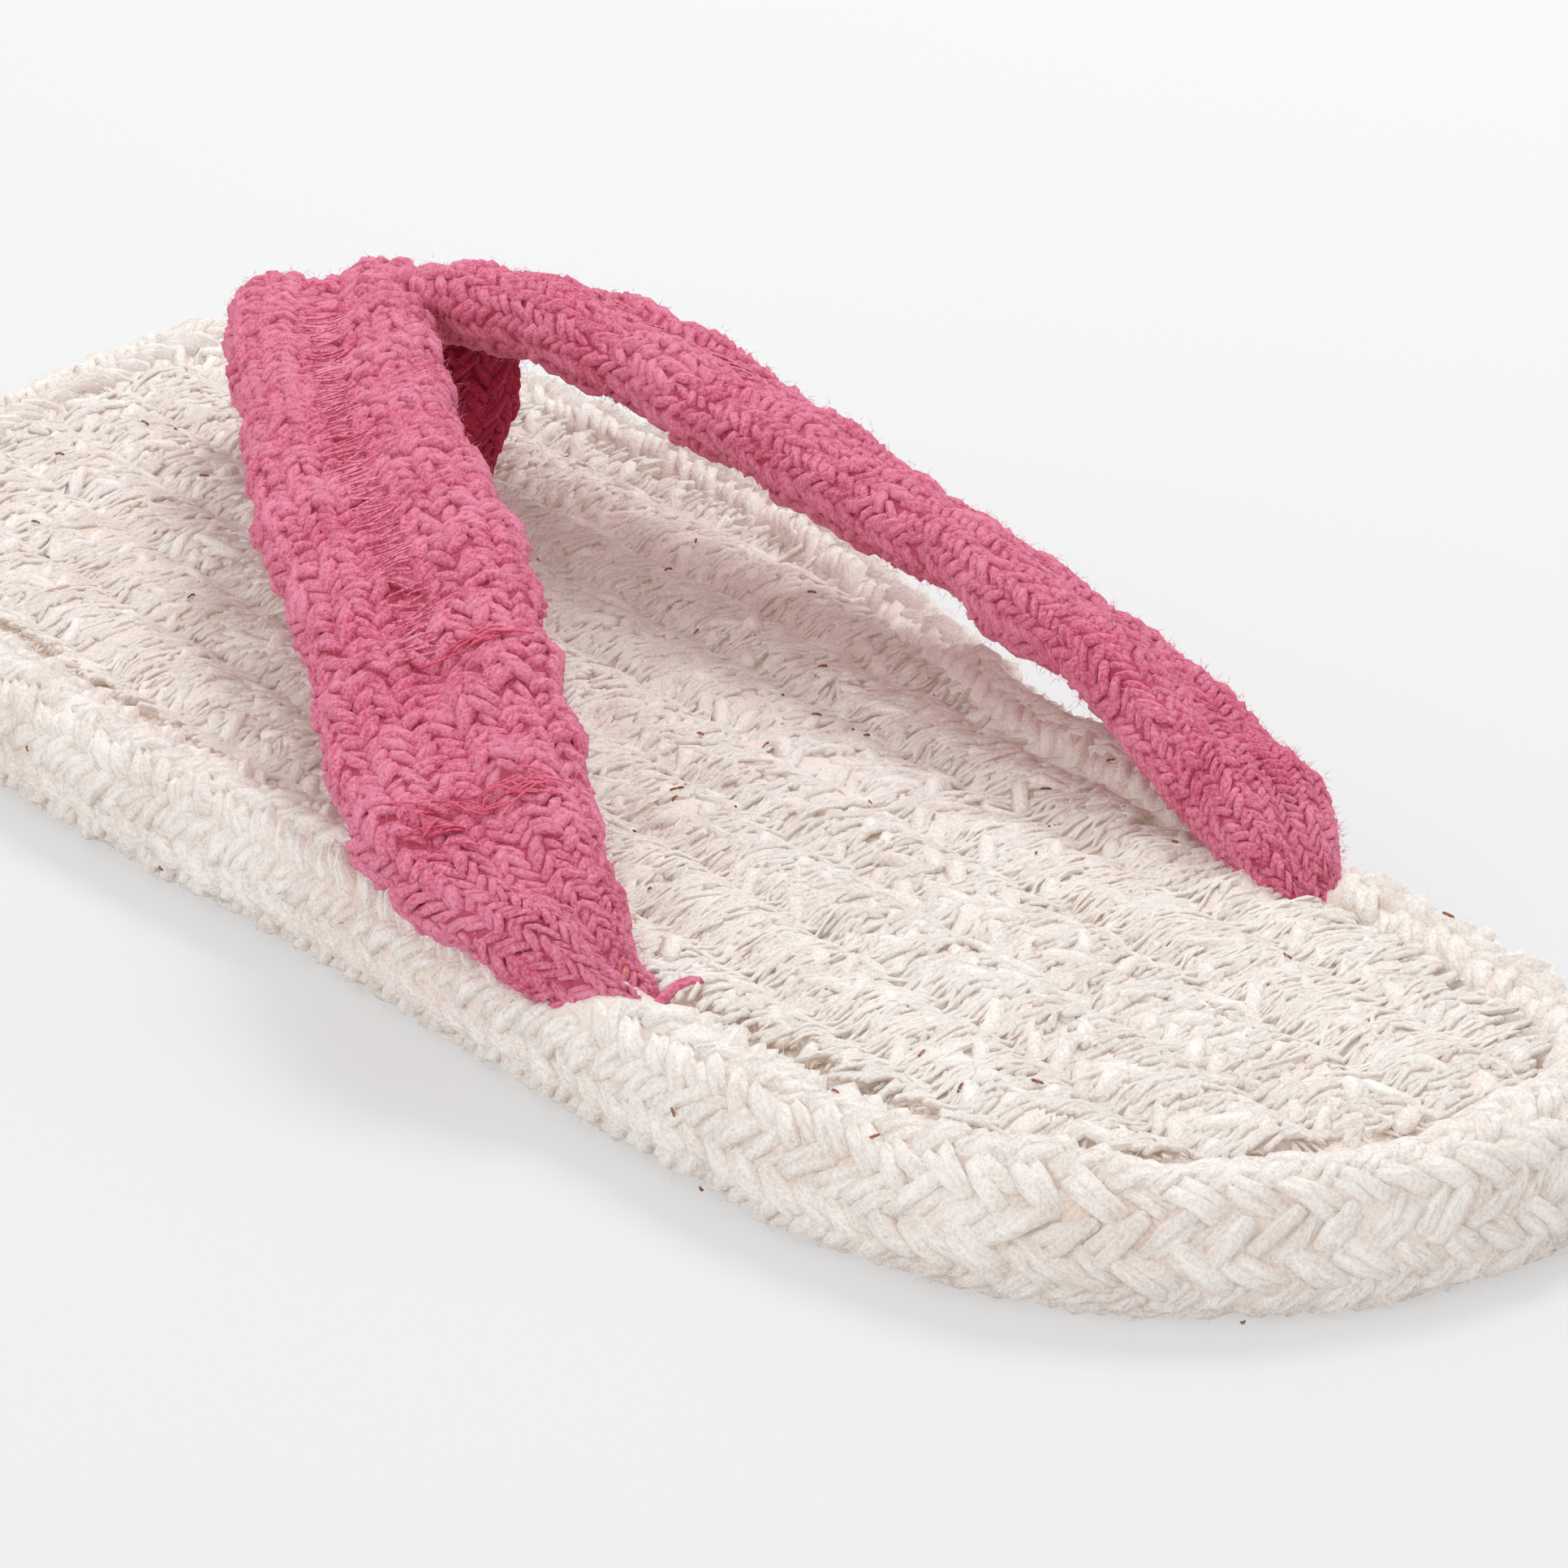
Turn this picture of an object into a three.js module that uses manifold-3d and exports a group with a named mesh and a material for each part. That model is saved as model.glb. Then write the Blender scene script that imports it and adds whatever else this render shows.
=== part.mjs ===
// A toe post sandal for the left foot, all of braided cotton.
// A plump braid runs round the sole, straight braided rows fill it, and a V of two flat
// double-cord straps is held between the toes by a short braided post.
// Millimetres. +Z is up, +Y points to the toe, +X is the medial side (the big toe's side).
// The origin lies on the floor, under the middle of the sole.
import * as THREE from 'three';
import { mergeVertices } from 'three/addons/utils/BufferGeometryUtils.js';
import Module from 'manifold-3d';

const wasm = await Module();
wasm.setup();

// Sole
const soleLength = 252;
const ballWidth = 91.5;
const heelWidth = 72;
const heelShift = -4.4; // the heel's middle lies to the lateral side of the sole's middle
const toeSpring = 2;
const springStart = 0.2; // share of the sole's length, forward of its middle

// Rim braid, all round the sole
const rimWidth = 10.4;
const rimHeight = 11;
const rimPlait = 7.1; // length along the braid of one pair of crossing strands
const rimRelief = 0.5;

// Inner rows, straight from heel to toe
const rowPitch = 9.4;
const rowHeight = 10;
const rowGroove = 1.5;
const rowPlait = 8;
const rowRelief = 0.35;
const rowShift = 0.5; // sideways place of the middle row's centre line
const crownDepth = 5000; // depth of the point that closes the sheet of crowns from below

// Straps
const strapWidth = 20;
const strapThickness = 7.6;
const strapRise = 15; // from the top of the rows to the middle of the straps at their highest
const strapPlait = 5.6;
const strapRelief = 0.4;

// Toe post
const postWidth = 11;
const postThickness = 9.5;
const postDepth = 5.5; // how far the post is let into the sole

// Clearances
const seamGap = 0.35; // between the rim and the rows
const fitGap = 0.3; // round the strap ends and the post

// Fineness
const edgeDivisions = 1200; // along the sole's edge, for even spacing
const insideSamples = 360; // round the block that the rim encloses
const insideStations = 56; // cuts across that block
const insideEnd = 0.004; // share of the block's length left off at each end
const postSides = 12;

const cottonCream = new THREE.Color(0.8, 0.74, 0.68);
const cottonPink = new THREE.Color(0.58, 0.1, 0.2);

// The sole's outer edge, anticlockwise seen from above, starting at the heel's end.
// along is a share of soleLength, across is a share of the named width.
const soleEdge = [
  { place: 'heel end', along: -0.5, across: 0.03, width: 'heel' },
  { place: 'heel, medial corner', along: -0.478, across: 0.315, width: 'heel' },
  { place: 'heel, medial side', along: -0.437, across: 0.432, width: 'heel' },
  { place: 'heel, widest medial', along: -0.376, across: 0.478, width: 'heel' },
  { place: 'back of the arch', along: -0.3, across: 0.5, width: 'heel' },
  { place: 'arch', along: -0.18, across: 0.498, width: 'heel' },
  { place: 'front of the arch', along: -0.08, across: 0.368, width: 'ball' },
  { place: 'behind the ball, medial', along: 0.03, across: 0.428, width: 'ball' },
  { place: 'ball, medial', along: 0.14, across: 0.49, width: 'ball' },
  { place: 'big toe joint', along: 0.25, across: 0.508, width: 'ball' },
  { place: 'big toe side', along: 0.35, across: 0.495, width: 'ball' },
  { place: 'big toe corner', along: 0.438, across: 0.438, width: 'ball' },
  { place: 'big toe tip, medial', along: 0.486, across: 0.335, width: 'ball' },
  { place: 'toe end', along: 0.5, across: 0.215, width: 'ball' },
  { place: 'second toe', along: 0.48, across: 0.07, width: 'ball' },
  { place: 'third toe', along: 0.445, across: -0.09, width: 'ball' },
  { place: 'fourth toe', along: 0.402, across: -0.235, width: 'ball' },
  { place: 'little toe tip', along: 0.338, across: -0.362, width: 'ball' },
  { place: 'little toe', along: 0.26, across: -0.445, width: 'ball' },
  { place: 'ball, lateral', along: 0.16, across: -0.488, width: 'ball' },
  { place: 'behind the ball, lateral', along: 0.05, across: -0.482, width: 'ball' },
  { place: 'lateral side', along: -0.08, across: -0.451, width: 'ball' },
  { place: 'lateral waist', along: -0.2, across: -0.494, width: 'heel' },
  { place: 'heel, widest lateral', along: -0.31, across: -0.47, width: 'heel' },
  { place: 'heel, lateral side', along: -0.39, across: -0.43, width: 'heel' },
  { place: 'heel, lateral corner', along: -0.45, across: -0.335, width: 'heel' },
  { place: 'heel end, lateral', along: -0.488, across: -0.17, width: 'heel' },
];

// Section of the rim braid. out is a share of half its width, up of its height,
// and side says which way its strands are raised at an even crossing.
const rimSection = [
  { place: 'foot, inner', out: -0.5, up: 0, side: 0 },
  { place: 'foot, outer', out: 0.42, up: 0, side: 0 },
  { place: 'lower side', out: 0.84, up: 0.17, side: 1 },
  { place: 'side', out: 0.99, up: 0.44, side: -1 },
  { place: 'upper side', out: 0.82, up: 0.74, side: 1 },
  { place: 'crown, outer', out: 0.4, up: 0.94, side: -1 },
  { place: 'crown, inner', out: -0.22, up: 0.96, side: 1 },
  { place: 'inner shoulder', out: -0.74, up: 0.8, side: 0 },
  { place: 'inner side', out: -1, up: 0.5, side: 0 },
  { place: 'inner foot', out: -0.96, up: 0.16, side: 0 },
];

// Crown of one inner row. across is a share of rowPitch, down of rowGroove,
// and side says which way its strands are raised at an even crossing.
const rowSection = [
  { place: 'groove', across: -0.5, down: 1, side: 0 },
  { place: 'lateral shoulder', across: -0.26, down: 0.15, side: 1 },
  { place: 'medial shoulder', across: 0.26, down: 0.15, side: -1 },
];

// Section of a strap: two cords side by side with a sewn valley between them.
const strapSection = [
  { place: 'outer edge', across: 1, up: 0, side: 0 },
  { place: 'outer cord, shoulder', across: 0.84, up: 0.72, side: 1 },
  { place: 'outer cord, crest', across: 0.46, up: 1, side: -1 },
  { place: 'valley', across: 0, up: 0.7, side: 0 },
  { place: 'inner cord, crest', across: -0.46, up: 1, side: 1 },
  { place: 'inner cord, shoulder', across: -0.84, up: 0.72, side: -1 },
  { place: 'inner edge', across: -1, up: 0, side: 0 },
  { place: 'inner cord, lower shoulder', across: -0.84, up: -0.72, side: 1 },
  { place: 'inner cord, underside', across: -0.46, up: -1, side: -1 },
  { place: 'lower valley', across: 0, up: -0.7, side: 0 },
  { place: 'outer cord, underside', across: 0.46, up: -1, side: 1 },
  { place: 'outer cord, lower shoulder', across: 0.84, up: -0.72, side: -1 },
];

// Straps from the front of the V to the sole. across is a share of ballWidth, along of
// soleLength, rise of strapRise above the rows, width and thick of the strap's own sizes,
// and roll is the outer edge's dip in degrees.
const lateralStrap = [
  { place: 'front end', across: 0.18, along: 0.352, rise: 0.58, width: 0.4, thick: 0.5, roll: 0 },
  { place: 'rounded front', across: 0.172, along: 0.34, rise: 0.76, width: 0.8, thick: 0.86, roll: 2 },
  { place: 'over the post', across: 0.14, along: 0.306, rise: 0.95, width: 1, thick: 1, roll: 6 },
  { place: 'behind the post', across: 0.072, along: 0.258, rise: 1.02, width: 0.98, thick: 1, roll: 12 },
  { place: 'forefoot', across: -0.037, along: 0.169, rise: 1, width: 0.95, thick: 1, roll: 18 },
  { place: 'ball', across: -0.138, along: 0.077, rise: 0.967, width: 0.95, thick: 1, roll: 20 },
  { place: 'instep', across: -0.21, along: -0.004, rise: 0.9, width: 1, thick: 1, roll: 20 },
  { place: 'upper side', across: -0.27, along: -0.067, rise: 0.767, width: 1, thick: 1, roll: 20 },
  { place: 'side', across: -0.328, along: -0.123, rise: 0.6, width: 1, thick: 1, roll: 20 },
  { place: 'over the rim', across: -0.366, along: -0.17, rise: 0.42, width: 0.95, thick: 1, roll: 14 },
  { place: 'narrowing', across: -0.38, along: -0.21, rise: 0.24, width: 0.76, thick: 0.95, roll: 6 },
  { place: 'into the seam', across: -0.376, along: -0.24, rise: 0.05, width: 0.5, thick: 0.85, roll: -8 },
  { place: 'in the seam', across: -0.36, along: -0.262, rise: -0.14, width: 0.28, thick: 0.7, roll: -10 },
  { place: 'tip', across: -0.348, along: -0.274, rise: -0.27, width: 0.14, thick: 0.45, roll: -10 },
];
const medialStrap = [
  { place: 'front end', across: 0.214, along: 0.324, rise: 0.48, width: 0.4, thick: 0.5, roll: 0 },
  { place: 'rounded front', across: 0.22, along: 0.313, rise: 0.67, width: 0.8, thick: 0.86, roll: 4 },
  { place: 'over the post', across: 0.232, along: 0.28, rise: 0.97, width: 1, thick: 1, roll: 10 },
  { place: 'behind the post', across: 0.247, along: 0.222, rise: 1.15, width: 1, thick: 1, roll: 16 },
  { place: 'forefoot', across: 0.268, along: 0.145, rise: 1.12, width: 1, thick: 1, roll: 20 },
  { place: 'ball', across: 0.284, along: 0.065, rise: 0.96, width: 1, thick: 0.96, roll: 24 },
  { place: 'instep', across: 0.293, along: -0.01, rise: 0.82, width: 0.96, thick: 0.9, roll: 28 },
  { place: 'upper side', across: 0.297, along: -0.088, rise: 0.68, width: 0.9, thick: 0.84, roll: 31 },
  { place: 'side', across: 0.295, along: -0.15, rise: 0.53, width: 0.84, thick: 0.82, roll: 30 },
  { place: 'over the rim', across: 0.287, along: -0.197, rise: 0.38, width: 0.76, thick: 0.84, roll: 24 },
  { place: 'narrowing', across: 0.276, along: -0.234, rise: 0.22, width: 0.62, thick: 0.86, roll: 14 },
  { place: 'into the seam', across: 0.264, along: -0.262, rise: 0.04, width: 0.44, thick: 0.8, roll: 0 },
  { place: 'in the seam', across: 0.257, along: -0.28, rise: -0.12, width: 0.28, thick: 0.65, roll: 0 },
  { place: 'tip', across: 0.253, along: -0.29, rise: -0.25, width: 0.14, thick: 0.45, roll: 0 },
];

// Toe post, from its foot in the sole to its head under the straps.
// rise is a share of strapRise above the rows, and the foot is set by postDepth instead.
const postPlace = { across: 0.2, along: 0.262 };
const postLean = { across: 0.035, along: -0.008 };
const postShape = [
  { place: 'foot', rise: null, size: 0.72 },
  { place: 'where it leaves the sole', rise: 0, size: 0.8 },
  { place: 'belly', rise: 0.4, size: 1.03 },
  { place: 'neck', rise: 0.75, size: 0.82 },
  { place: 'head', rise: 0.95, size: 0.72 },
];

function springAt(y) {
  const start = springStart * soleLength;
  const reach = soleLength / 2 - start;
  const part = Math.max(0, (y - start) / reach);
  return toeSpring * part * part;
}

function edgePoint(row) {
  const x = row.width === 'heel' ? heelShift + row.across * heelWidth : row.across * ballWidth;
  return new THREE.Vector3(x, row.along * soleLength, 0);
}

// Points spaced evenly along the sole's edge, moved inwards by inset.
function edgeLoop(count, inset) {
  const curve = new THREE.CatmullRomCurve3(soleEdge.map(edgePoint), true, 'centripetal');
  curve.arcLengthDivisions = edgeDivisions;
  const loop = [];
  for (let i = 0; i < count; i += 1) {
    const point = curve.getPointAt(i / count);
    const tangent = curve.getTangentAt(i / count);
    const outward = new THREE.Vector2(tangent.y, -tangent.x).normalize();
    loop.push({ x: point.x - outward.x * inset, y: point.y - outward.y * inset, outward });
  }
  return loop;
}

function loopLength(loop) {
  return loop.reduce((sum, point, i) => {
    const next = loop[(i + 1) % loop.length];
    return sum + Math.hypot(next.x - point.x, next.y - point.y);
  }, 0);
}

// A geometry from rings of points. A closed tube joins its last ring to its first,
// an open one is capped with a fan at each end.
function tubeGeometry(rings, closed) {
  const sides = rings[0].length;
  const positions = rings.flat().flatMap((point) => [point.x, point.y, point.z]);
  const triangles = [];
  const steps = closed ? rings.length : rings.length - 1;
  for (let i = 0; i < steps; i += 1) {
    const here = i * sides;
    const there = ((i + 1) % rings.length) * sides;
    for (let j = 0; j < sides; j += 1) {
      const k = (j + 1) % sides;
      triangles.push(here + j, there + j, there + k, here + j, there + k, here + k);
    }
  }
  if (!closed) {
    [0, rings.length - 1].forEach((ring, end) => {
      const middle = positions.length / 3;
      const centre = rings[ring].reduce((sum, p) => sum.add(p), new THREE.Vector3());
      centre.divideScalar(sides);
      positions.push(centre.x, centre.y, centre.z);
      for (let j = 0; j < sides; j += 1) {
        const a = ring * sides + j;
        const b = ring * sides + ((j + 1) % sides);
        triangles.push(...(end === 0 ? [middle, a, b] : [middle, b, a]));
      }
    });
  }
  const geometry = new THREE.BufferGeometry();
  geometry.setAttribute('position', new THREE.Float32BufferAttribute(positions, 3));
  geometry.setIndex(triangles);
  return geometry;
}

function signedVolume(positions, index) {
  const a = new THREE.Vector3();
  const b = new THREE.Vector3();
  const c = new THREE.Vector3();
  let volume = 0;
  for (let i = 0; i < index.count; i += 3) {
    a.fromBufferAttribute(positions, index.getX(i));
    b.fromBufferAttribute(positions, index.getX(i + 1));
    c.fromBufferAttribute(positions, index.getX(i + 2));
    volume += a.dot(b.cross(c)) / 6;
  }
  return volume;
}

// Turns a closed geometry into a solid, with its faces pointing out.
function toSolid(geometry) {
  const merged = mergeVertices(geometry);
  const positions = merged.getAttribute('position');
  const triangles = Array.from(merged.index.array);
  if (signedVolume(positions, merged.index) < 0) {
    for (let i = 0; i < triangles.length; i += 3) {
      [triangles[i + 1], triangles[i + 2]] = [triangles[i + 2], triangles[i + 1]];
    }
  }
  return new wasm.Manifold(new wasm.Mesh({
    numProp: 3,
    vertProperties: new Float32Array(positions.array),
    triVerts: new Uint32Array(triangles),
  }));
}

function toMesh(name, solid, colour) {
  const result = solid.getMesh();
  const geometry = new THREE.BufferGeometry();
  geometry.setAttribute('position', new THREE.Float32BufferAttribute(result.vertProperties, 3));
  geometry.setIndex(Array.from(result.triVerts));
  geometry.computeVertexNormals();
  const material = new THREE.MeshStandardMaterial({ color: colour, roughness: 0.95, metalness: 0 });
  const mesh = new THREE.Mesh(geometry, material);
  mesh.name = name;
  return mesh;
}

// The rim: one braid round the sole, its crossing strands raised in turn.
function rimSolid() {
  const middleLength = loopLength(edgeLoop(insideSamples, rimWidth / 2));
  const loop = edgeLoop(2 * Math.round(middleLength / rimPlait), 0);
  const rings = loop.map((point, i) => rimSection.map((spot) => {
    const raised = rimRelief * spot.side * (i % 2 === 0 ? 1 : -1) * 0.5;
    const out = spot.out * (rimWidth / 2) * (1 + raised / (rimWidth / 2));
    const up = spot.up * (rimHeight + raised);
    const inset = rimWidth / 2 - out;
    return new THREE.Vector3(
      point.x - point.outward.x * inset,
      point.y - point.outward.y * inset,
      springAt(point.y) + up,
    );
  }));
  return toSolid(tubeGeometry(rings, true));
}

// Left and right limits of a loop at one place along the sole.
function loopSides(loop, y) {
  const crossings = [];
  loop.forEach((point, i) => {
    const next = loop[(i + 1) % loop.length];
    if ((point.y - y) * (next.y - y) <= 0 && point.y !== next.y) {
      crossings.push(point.x + ((y - point.y) / (next.y - point.y)) * (next.x - point.x));
    }
  });
  return { left: Math.min(...crossings), right: Math.max(...crossings) };
}

// The block that the rim encloses, cut square from below the floor to above the rows.
function insideSolid() {
  const loop = edgeLoop(insideSamples, rimWidth + seamGap);
  const heelEnd = Math.min(...loop.map((point) => point.y));
  const toeEnd = Math.max(...loop.map((point) => point.y));
  const rings = [];
  for (let i = 0; i <= insideStations; i += 1) {
    const eased = (1 - Math.cos((Math.PI * i) / insideStations)) / 2;
    const share = THREE.MathUtils.lerp(insideEnd, 1 - insideEnd, eased);
    const y = THREE.MathUtils.lerp(heelEnd, toeEnd, share);
    const { left, right } = loopSides(loop, y);
    const floor = springAt(y);
    const top = floor + 2 * rowHeight;
    rings.push([
      new THREE.Vector3(left, y, floor),
      new THREE.Vector3(right, y, floor),
      new THREE.Vector3(right, y, top),
      new THREE.Vector3(left, y, top),
    ]);
  }
  return toSolid(tubeGeometry(rings, false));
}

// A sheet of rows wider than the sole, closed far below, whose top has the rows' crowns.
function crownSolid() {
  const rowsEachSide = Math.ceil(ballWidth / 2 / rowPitch) + 1;
  const steps = 2 * Math.ceil((soleLength / 2 + rowPlait) / rowPlait);
  const columns = [];
  for (let row = -rowsEachSide; row <= rowsEachSide; row += 1) {
    rowSection.forEach((spot) => {
      columns.push({ x: rowShift + (row + spot.across) * rowPitch, ...spot });
    });
  }
  const positions = [];
  for (let j = -steps; j <= steps; j += 1) {
    const y = (j * rowPlait) / 2;
    columns.forEach((spot) => {
      const raised = rowRelief * spot.side * (j % 2 === 0 ? 1 : -1) * 0.5;
      positions.push(spot.x, y, springAt(y) + rowHeight - spot.down * rowGroove + raised);
    });
  }
  const wide = columns.length;
  const long = 2 * steps + 1;
  const triangles = [];
  for (let j = 0; j < long - 1; j += 1) {
    for (let i = 0; i < wide - 1; i += 1) {
      const a = j * wide + i;
      triangles.push(a, a + 1, a + wide + 1, a, a + wide + 1, a + wide);
    }
  }
  const border = [];
  for (let i = 0; i < wide; i += 1) border.push(i);
  for (let j = 1; j < long; j += 1) border.push(j * wide + wide - 1);
  for (let i = wide - 2; i >= 0; i -= 1) border.push((long - 1) * wide + i);
  for (let j = long - 2; j > 0; j -= 1) border.push(j * wide);
  const below = positions.length / 3;
  positions.push(0, 0, -crownDepth);
  border.forEach((a, i) => triangles.push(below, border[(i + 1) % border.length], a));
  const geometry = new THREE.BufferGeometry();
  geometry.setAttribute('position', new THREE.Float32BufferAttribute(positions, 3));
  geometry.setIndex(triangles);
  return toSolid(geometry);
}

function strapPoint(row) {
  return new THREE.Vector3(
    row.across * ballWidth,
    row.along * soleLength,
    rowHeight + row.rise * strapRise,
  );
}

// Value of one column of a strap's table, part of the way between two of its rows.
function tableValue(table, column, place) {
  const row = Math.min(Math.floor(place), table.length - 2);
  return THREE.MathUtils.lerp(table[row][column], table[row + 1][column], place - row);
}

// One strap along its table. outer is +1 where its outer edge lies to the medial side.
function strapSolid(table, outer, grow) {
  const curve = new THREE.CatmullRomCurve3(table.map(strapPoint), false, 'centripetal');
  const steps = 2 * Math.round(curve.getLength() / strapPlait);
  const rings = [];
  for (let i = 0; i <= steps; i += 1) {
    const place = curve.getUtoTmapping(i / steps) * (table.length - 1);
    const centre = curve.getPointAt(i / steps);
    const tangent = curve.getTangentAt(i / steps);
    const level = new THREE.Vector3(tangent.y, -tangent.x, 0).normalize();
    if (level.x * outer < 0) level.negate();
    const upward = new THREE.Vector3().crossVectors(level, tangent).normalize();
    if (upward.z < 0) upward.negate();
    const roll = THREE.MathUtils.degToRad(tableValue(table, 'roll', place));
    const across = level.clone().multiplyScalar(Math.cos(roll));
    across.addScaledVector(upward, -Math.sin(roll));
    const face = upward.clone().multiplyScalar(Math.cos(roll));
    face.addScaledVector(level, Math.sin(roll));
    const halfWidth = (strapWidth / 2) * tableValue(table, 'width', place) + grow;
    const halfThick = (strapThickness / 2) * tableValue(table, 'thick', place) + grow;
    const end = i === 0 || i === steps ? grow * (i === 0 ? -1 : 1) : 0;
    rings.push(strapSection.map((spot) => {
      const raised = strapRelief * spot.side * (i % 2 === 0 ? 1 : -1) * 0.5 * Math.sign(spot.up);
      return centre.clone()
        .addScaledVector(across, spot.across * halfWidth)
        .addScaledVector(face, spot.up * halfThick + raised)
        .addScaledVector(tangent, end);
    }));
  }
  return toSolid(tubeGeometry(rings, false));
}

function upperSolid(grow) {
  return strapSolid(lateralStrap, -1, grow).add(strapSolid(medialStrap, 1, grow));
}

function postSolid(grow) {
  const rings = postShape.map((row) => {
    const rise = row.rise === null ? -postDepth - grow : row.rise * strapRise;
    const lean = rise / strapRise;
    const y = (postPlace.along + lean * postLean.along) * soleLength;
    const x = (postPlace.across + lean * postLean.across) * ballWidth;
    const ring = [];
    for (let i = 0; i < postSides; i += 1) {
      const angle = (2 * Math.PI * i) / postSides;
      ring.push(new THREE.Vector3(
        x + Math.cos(angle) * ((postWidth / 2) * row.size + grow),
        y + Math.sin(angle) * ((postThickness / 2) * row.size + grow),
        springAt(y) + rowHeight + rise,
      ));
    }
    return ring;
  });
  return toSolid(tubeGeometry(rings, false));
}

const upper = upperSolid(0);
const upperSpace = upperSolid(fitGap);
const rim = rimSolid().subtract(upperSpace);
const rows = crownSolid()
  .intersect(insideSolid())
  .subtract(upperSpace)
  .subtract(postSolid(fitGap));
const post = postSolid(0).subtract(upperSpace);

const sandal = new THREE.Group();
sandal.name = 'toe_post_sandal';
sandal.add(toMesh('sole_rim', rim, cottonCream));
sandal.add(toMesh('sole_rows', rows, cottonCream));
sandal.add(toMesh('upper_straps', upper, cottonPink));
sandal.add(toMesh('toe_post', post, cottonPink));

// The middle of the sandal's bounds is set over the origin.
const middle = new THREE.Box3().setFromObject(sandal).getCenter(new THREE.Vector3());
sandal.position.set(-middle.x, -middle.y, 0);

export default sandal;
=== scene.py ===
# %% [markdown]
# A braided toe post sandal
#
# The sandal is made of soft cotton strands. A plump round braid runs round the sole, straight
# braided rows fill it, and two broad pink straps are held between the toes by a short post.
# Up close it is nothing but yarns lying over and under each other, so the yarns are modelled.
# They could be one smooth surface with a bump map, but bump has no outline and no real shadow
# in the pits, and both show here. So one strand is modelled, laid out as a flat braid with
# copies of itself, and the flat braid is then wrapped round the form that carries it.

# %% Load the frame
import math

import bpy
import numpy as np
from mathutils.kdtree import KDTree
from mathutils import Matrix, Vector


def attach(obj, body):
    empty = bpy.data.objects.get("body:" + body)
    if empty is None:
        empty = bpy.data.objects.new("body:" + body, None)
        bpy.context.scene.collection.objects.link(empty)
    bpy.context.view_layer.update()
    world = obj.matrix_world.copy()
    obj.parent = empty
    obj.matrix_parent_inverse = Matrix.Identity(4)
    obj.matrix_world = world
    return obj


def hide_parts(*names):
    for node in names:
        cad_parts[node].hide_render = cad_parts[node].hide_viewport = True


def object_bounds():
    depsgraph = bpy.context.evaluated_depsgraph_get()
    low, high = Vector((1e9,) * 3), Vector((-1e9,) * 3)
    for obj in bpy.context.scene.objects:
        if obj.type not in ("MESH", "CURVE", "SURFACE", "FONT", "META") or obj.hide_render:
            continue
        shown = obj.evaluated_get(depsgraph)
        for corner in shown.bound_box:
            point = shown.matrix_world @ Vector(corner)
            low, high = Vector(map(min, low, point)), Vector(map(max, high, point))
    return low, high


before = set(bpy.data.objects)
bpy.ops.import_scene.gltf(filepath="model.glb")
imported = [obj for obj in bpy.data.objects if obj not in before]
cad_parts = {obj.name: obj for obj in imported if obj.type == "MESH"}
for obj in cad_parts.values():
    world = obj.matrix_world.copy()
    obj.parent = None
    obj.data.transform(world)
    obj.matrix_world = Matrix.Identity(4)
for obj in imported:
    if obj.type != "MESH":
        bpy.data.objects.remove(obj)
cad_low, cad_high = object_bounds()
bpy.ops.object.select_all(action="DESELECT")
chance = np.random.default_rng(7)
print("frame nodes:", sorted(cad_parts))
print("frame size in mm:", [round(1000 * side, 1) for side in cad_high - cad_low])

# %% [markdown]
# Sizes
#
# Blender works in metres here, and a sandal is easier to think about in millimetres, so each
# size is written in millimetres times MM. They are the sizes that a maker would write down:
# the sole's length and widths, the thickness of each braid, and the width of the straps.
# A strand's own sizes are kept too, because the look depends on them more than on anything.

# %% The sandal's sizes
MM = 0.001

SOLE_LENGTH = 252 * MM
BALL_WIDTH = 91.5 * MM
HEEL_WIDTH = 72 * MM
HEEL_SHIFT = -4.4 * MM
TOE_SPRING = 2 * MM
SPRING_START = 0.2 * SOLE_LENGTH

RIM_WIDTH = 10.4 * MM
RIM_HEIGHT = 11 * MM
ROW_PITCH = 9.4 * MM
ROW_HEIGHT = 10 * MM
ROW_GROOVE = 1.5 * MM
ROW_SHIFT = 0.5 * MM
SEAM_GAP = 0.35 * MM

STRAP_WIDTH = 20 * MM
STRAP_THICKNESS = 7.6 * MM
STRAP_RISE = 15 * MM

POST_WIDTH = 11 * MM
POST_THICKNESS = 9.5 * MM
POST_DEPTH = 5.5 * MM

print("sole length in mm:", round(SOLE_LENGTH / MM))

# %% [markdown]
# The sole's outline
#
# The edge of the sole is one closed curve. It could be a curve object, drawn by hand, but a
# short table is easier to check against a real sole: each row names a place, how far along the
# foot it is and how far to the side. A smooth curve is then run through the rows. Its knots
# are spaced by the square root of the distance between two rows, because such a curve doesn't
# overshoot or loop where two rows lie close.

# %% Smooth curves through a few points
SPAN_STEPS = 24


def knot_gap(first, second):
    return math.sqrt(math.dist(first, second))


def smooth_line(points, closed):
    points = np.asarray(points, float)
    if closed:
        knots = np.vstack([points[-1:], points, points[:2]])
    else:
        knots = np.vstack([2 * points[0] - points[1], points, 2 * points[-1] - points[-2]])
    shares = (np.arange(SPAN_STEPS) / SPAN_STEPS)[:, None]
    pieces = []
    for before, start, end, after in zip(knots, knots[1:], knots[2:], knots[3:]):
        d0, d1, d2 = knot_gap(before, start), knot_gap(start, end), knot_gap(end, after)
        leave = ((start - before) / d0 - (end - before) / (d0 + d1) + (end - start) / d1) * d1
        arrive = ((end - start) / d1 - (after - start) / (d1 + d2) + (after - end) / d2) * d1
        square = 3 * (end - start) - 2 * leave - arrive
        cube = 2 * (start - end) + leave + arrive
        pieces.append(start + shares * (leave + shares * (square + shares * cube)))
    last = points[:1] if closed else points[-1:]
    return np.vstack(pieces + [last])


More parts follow.
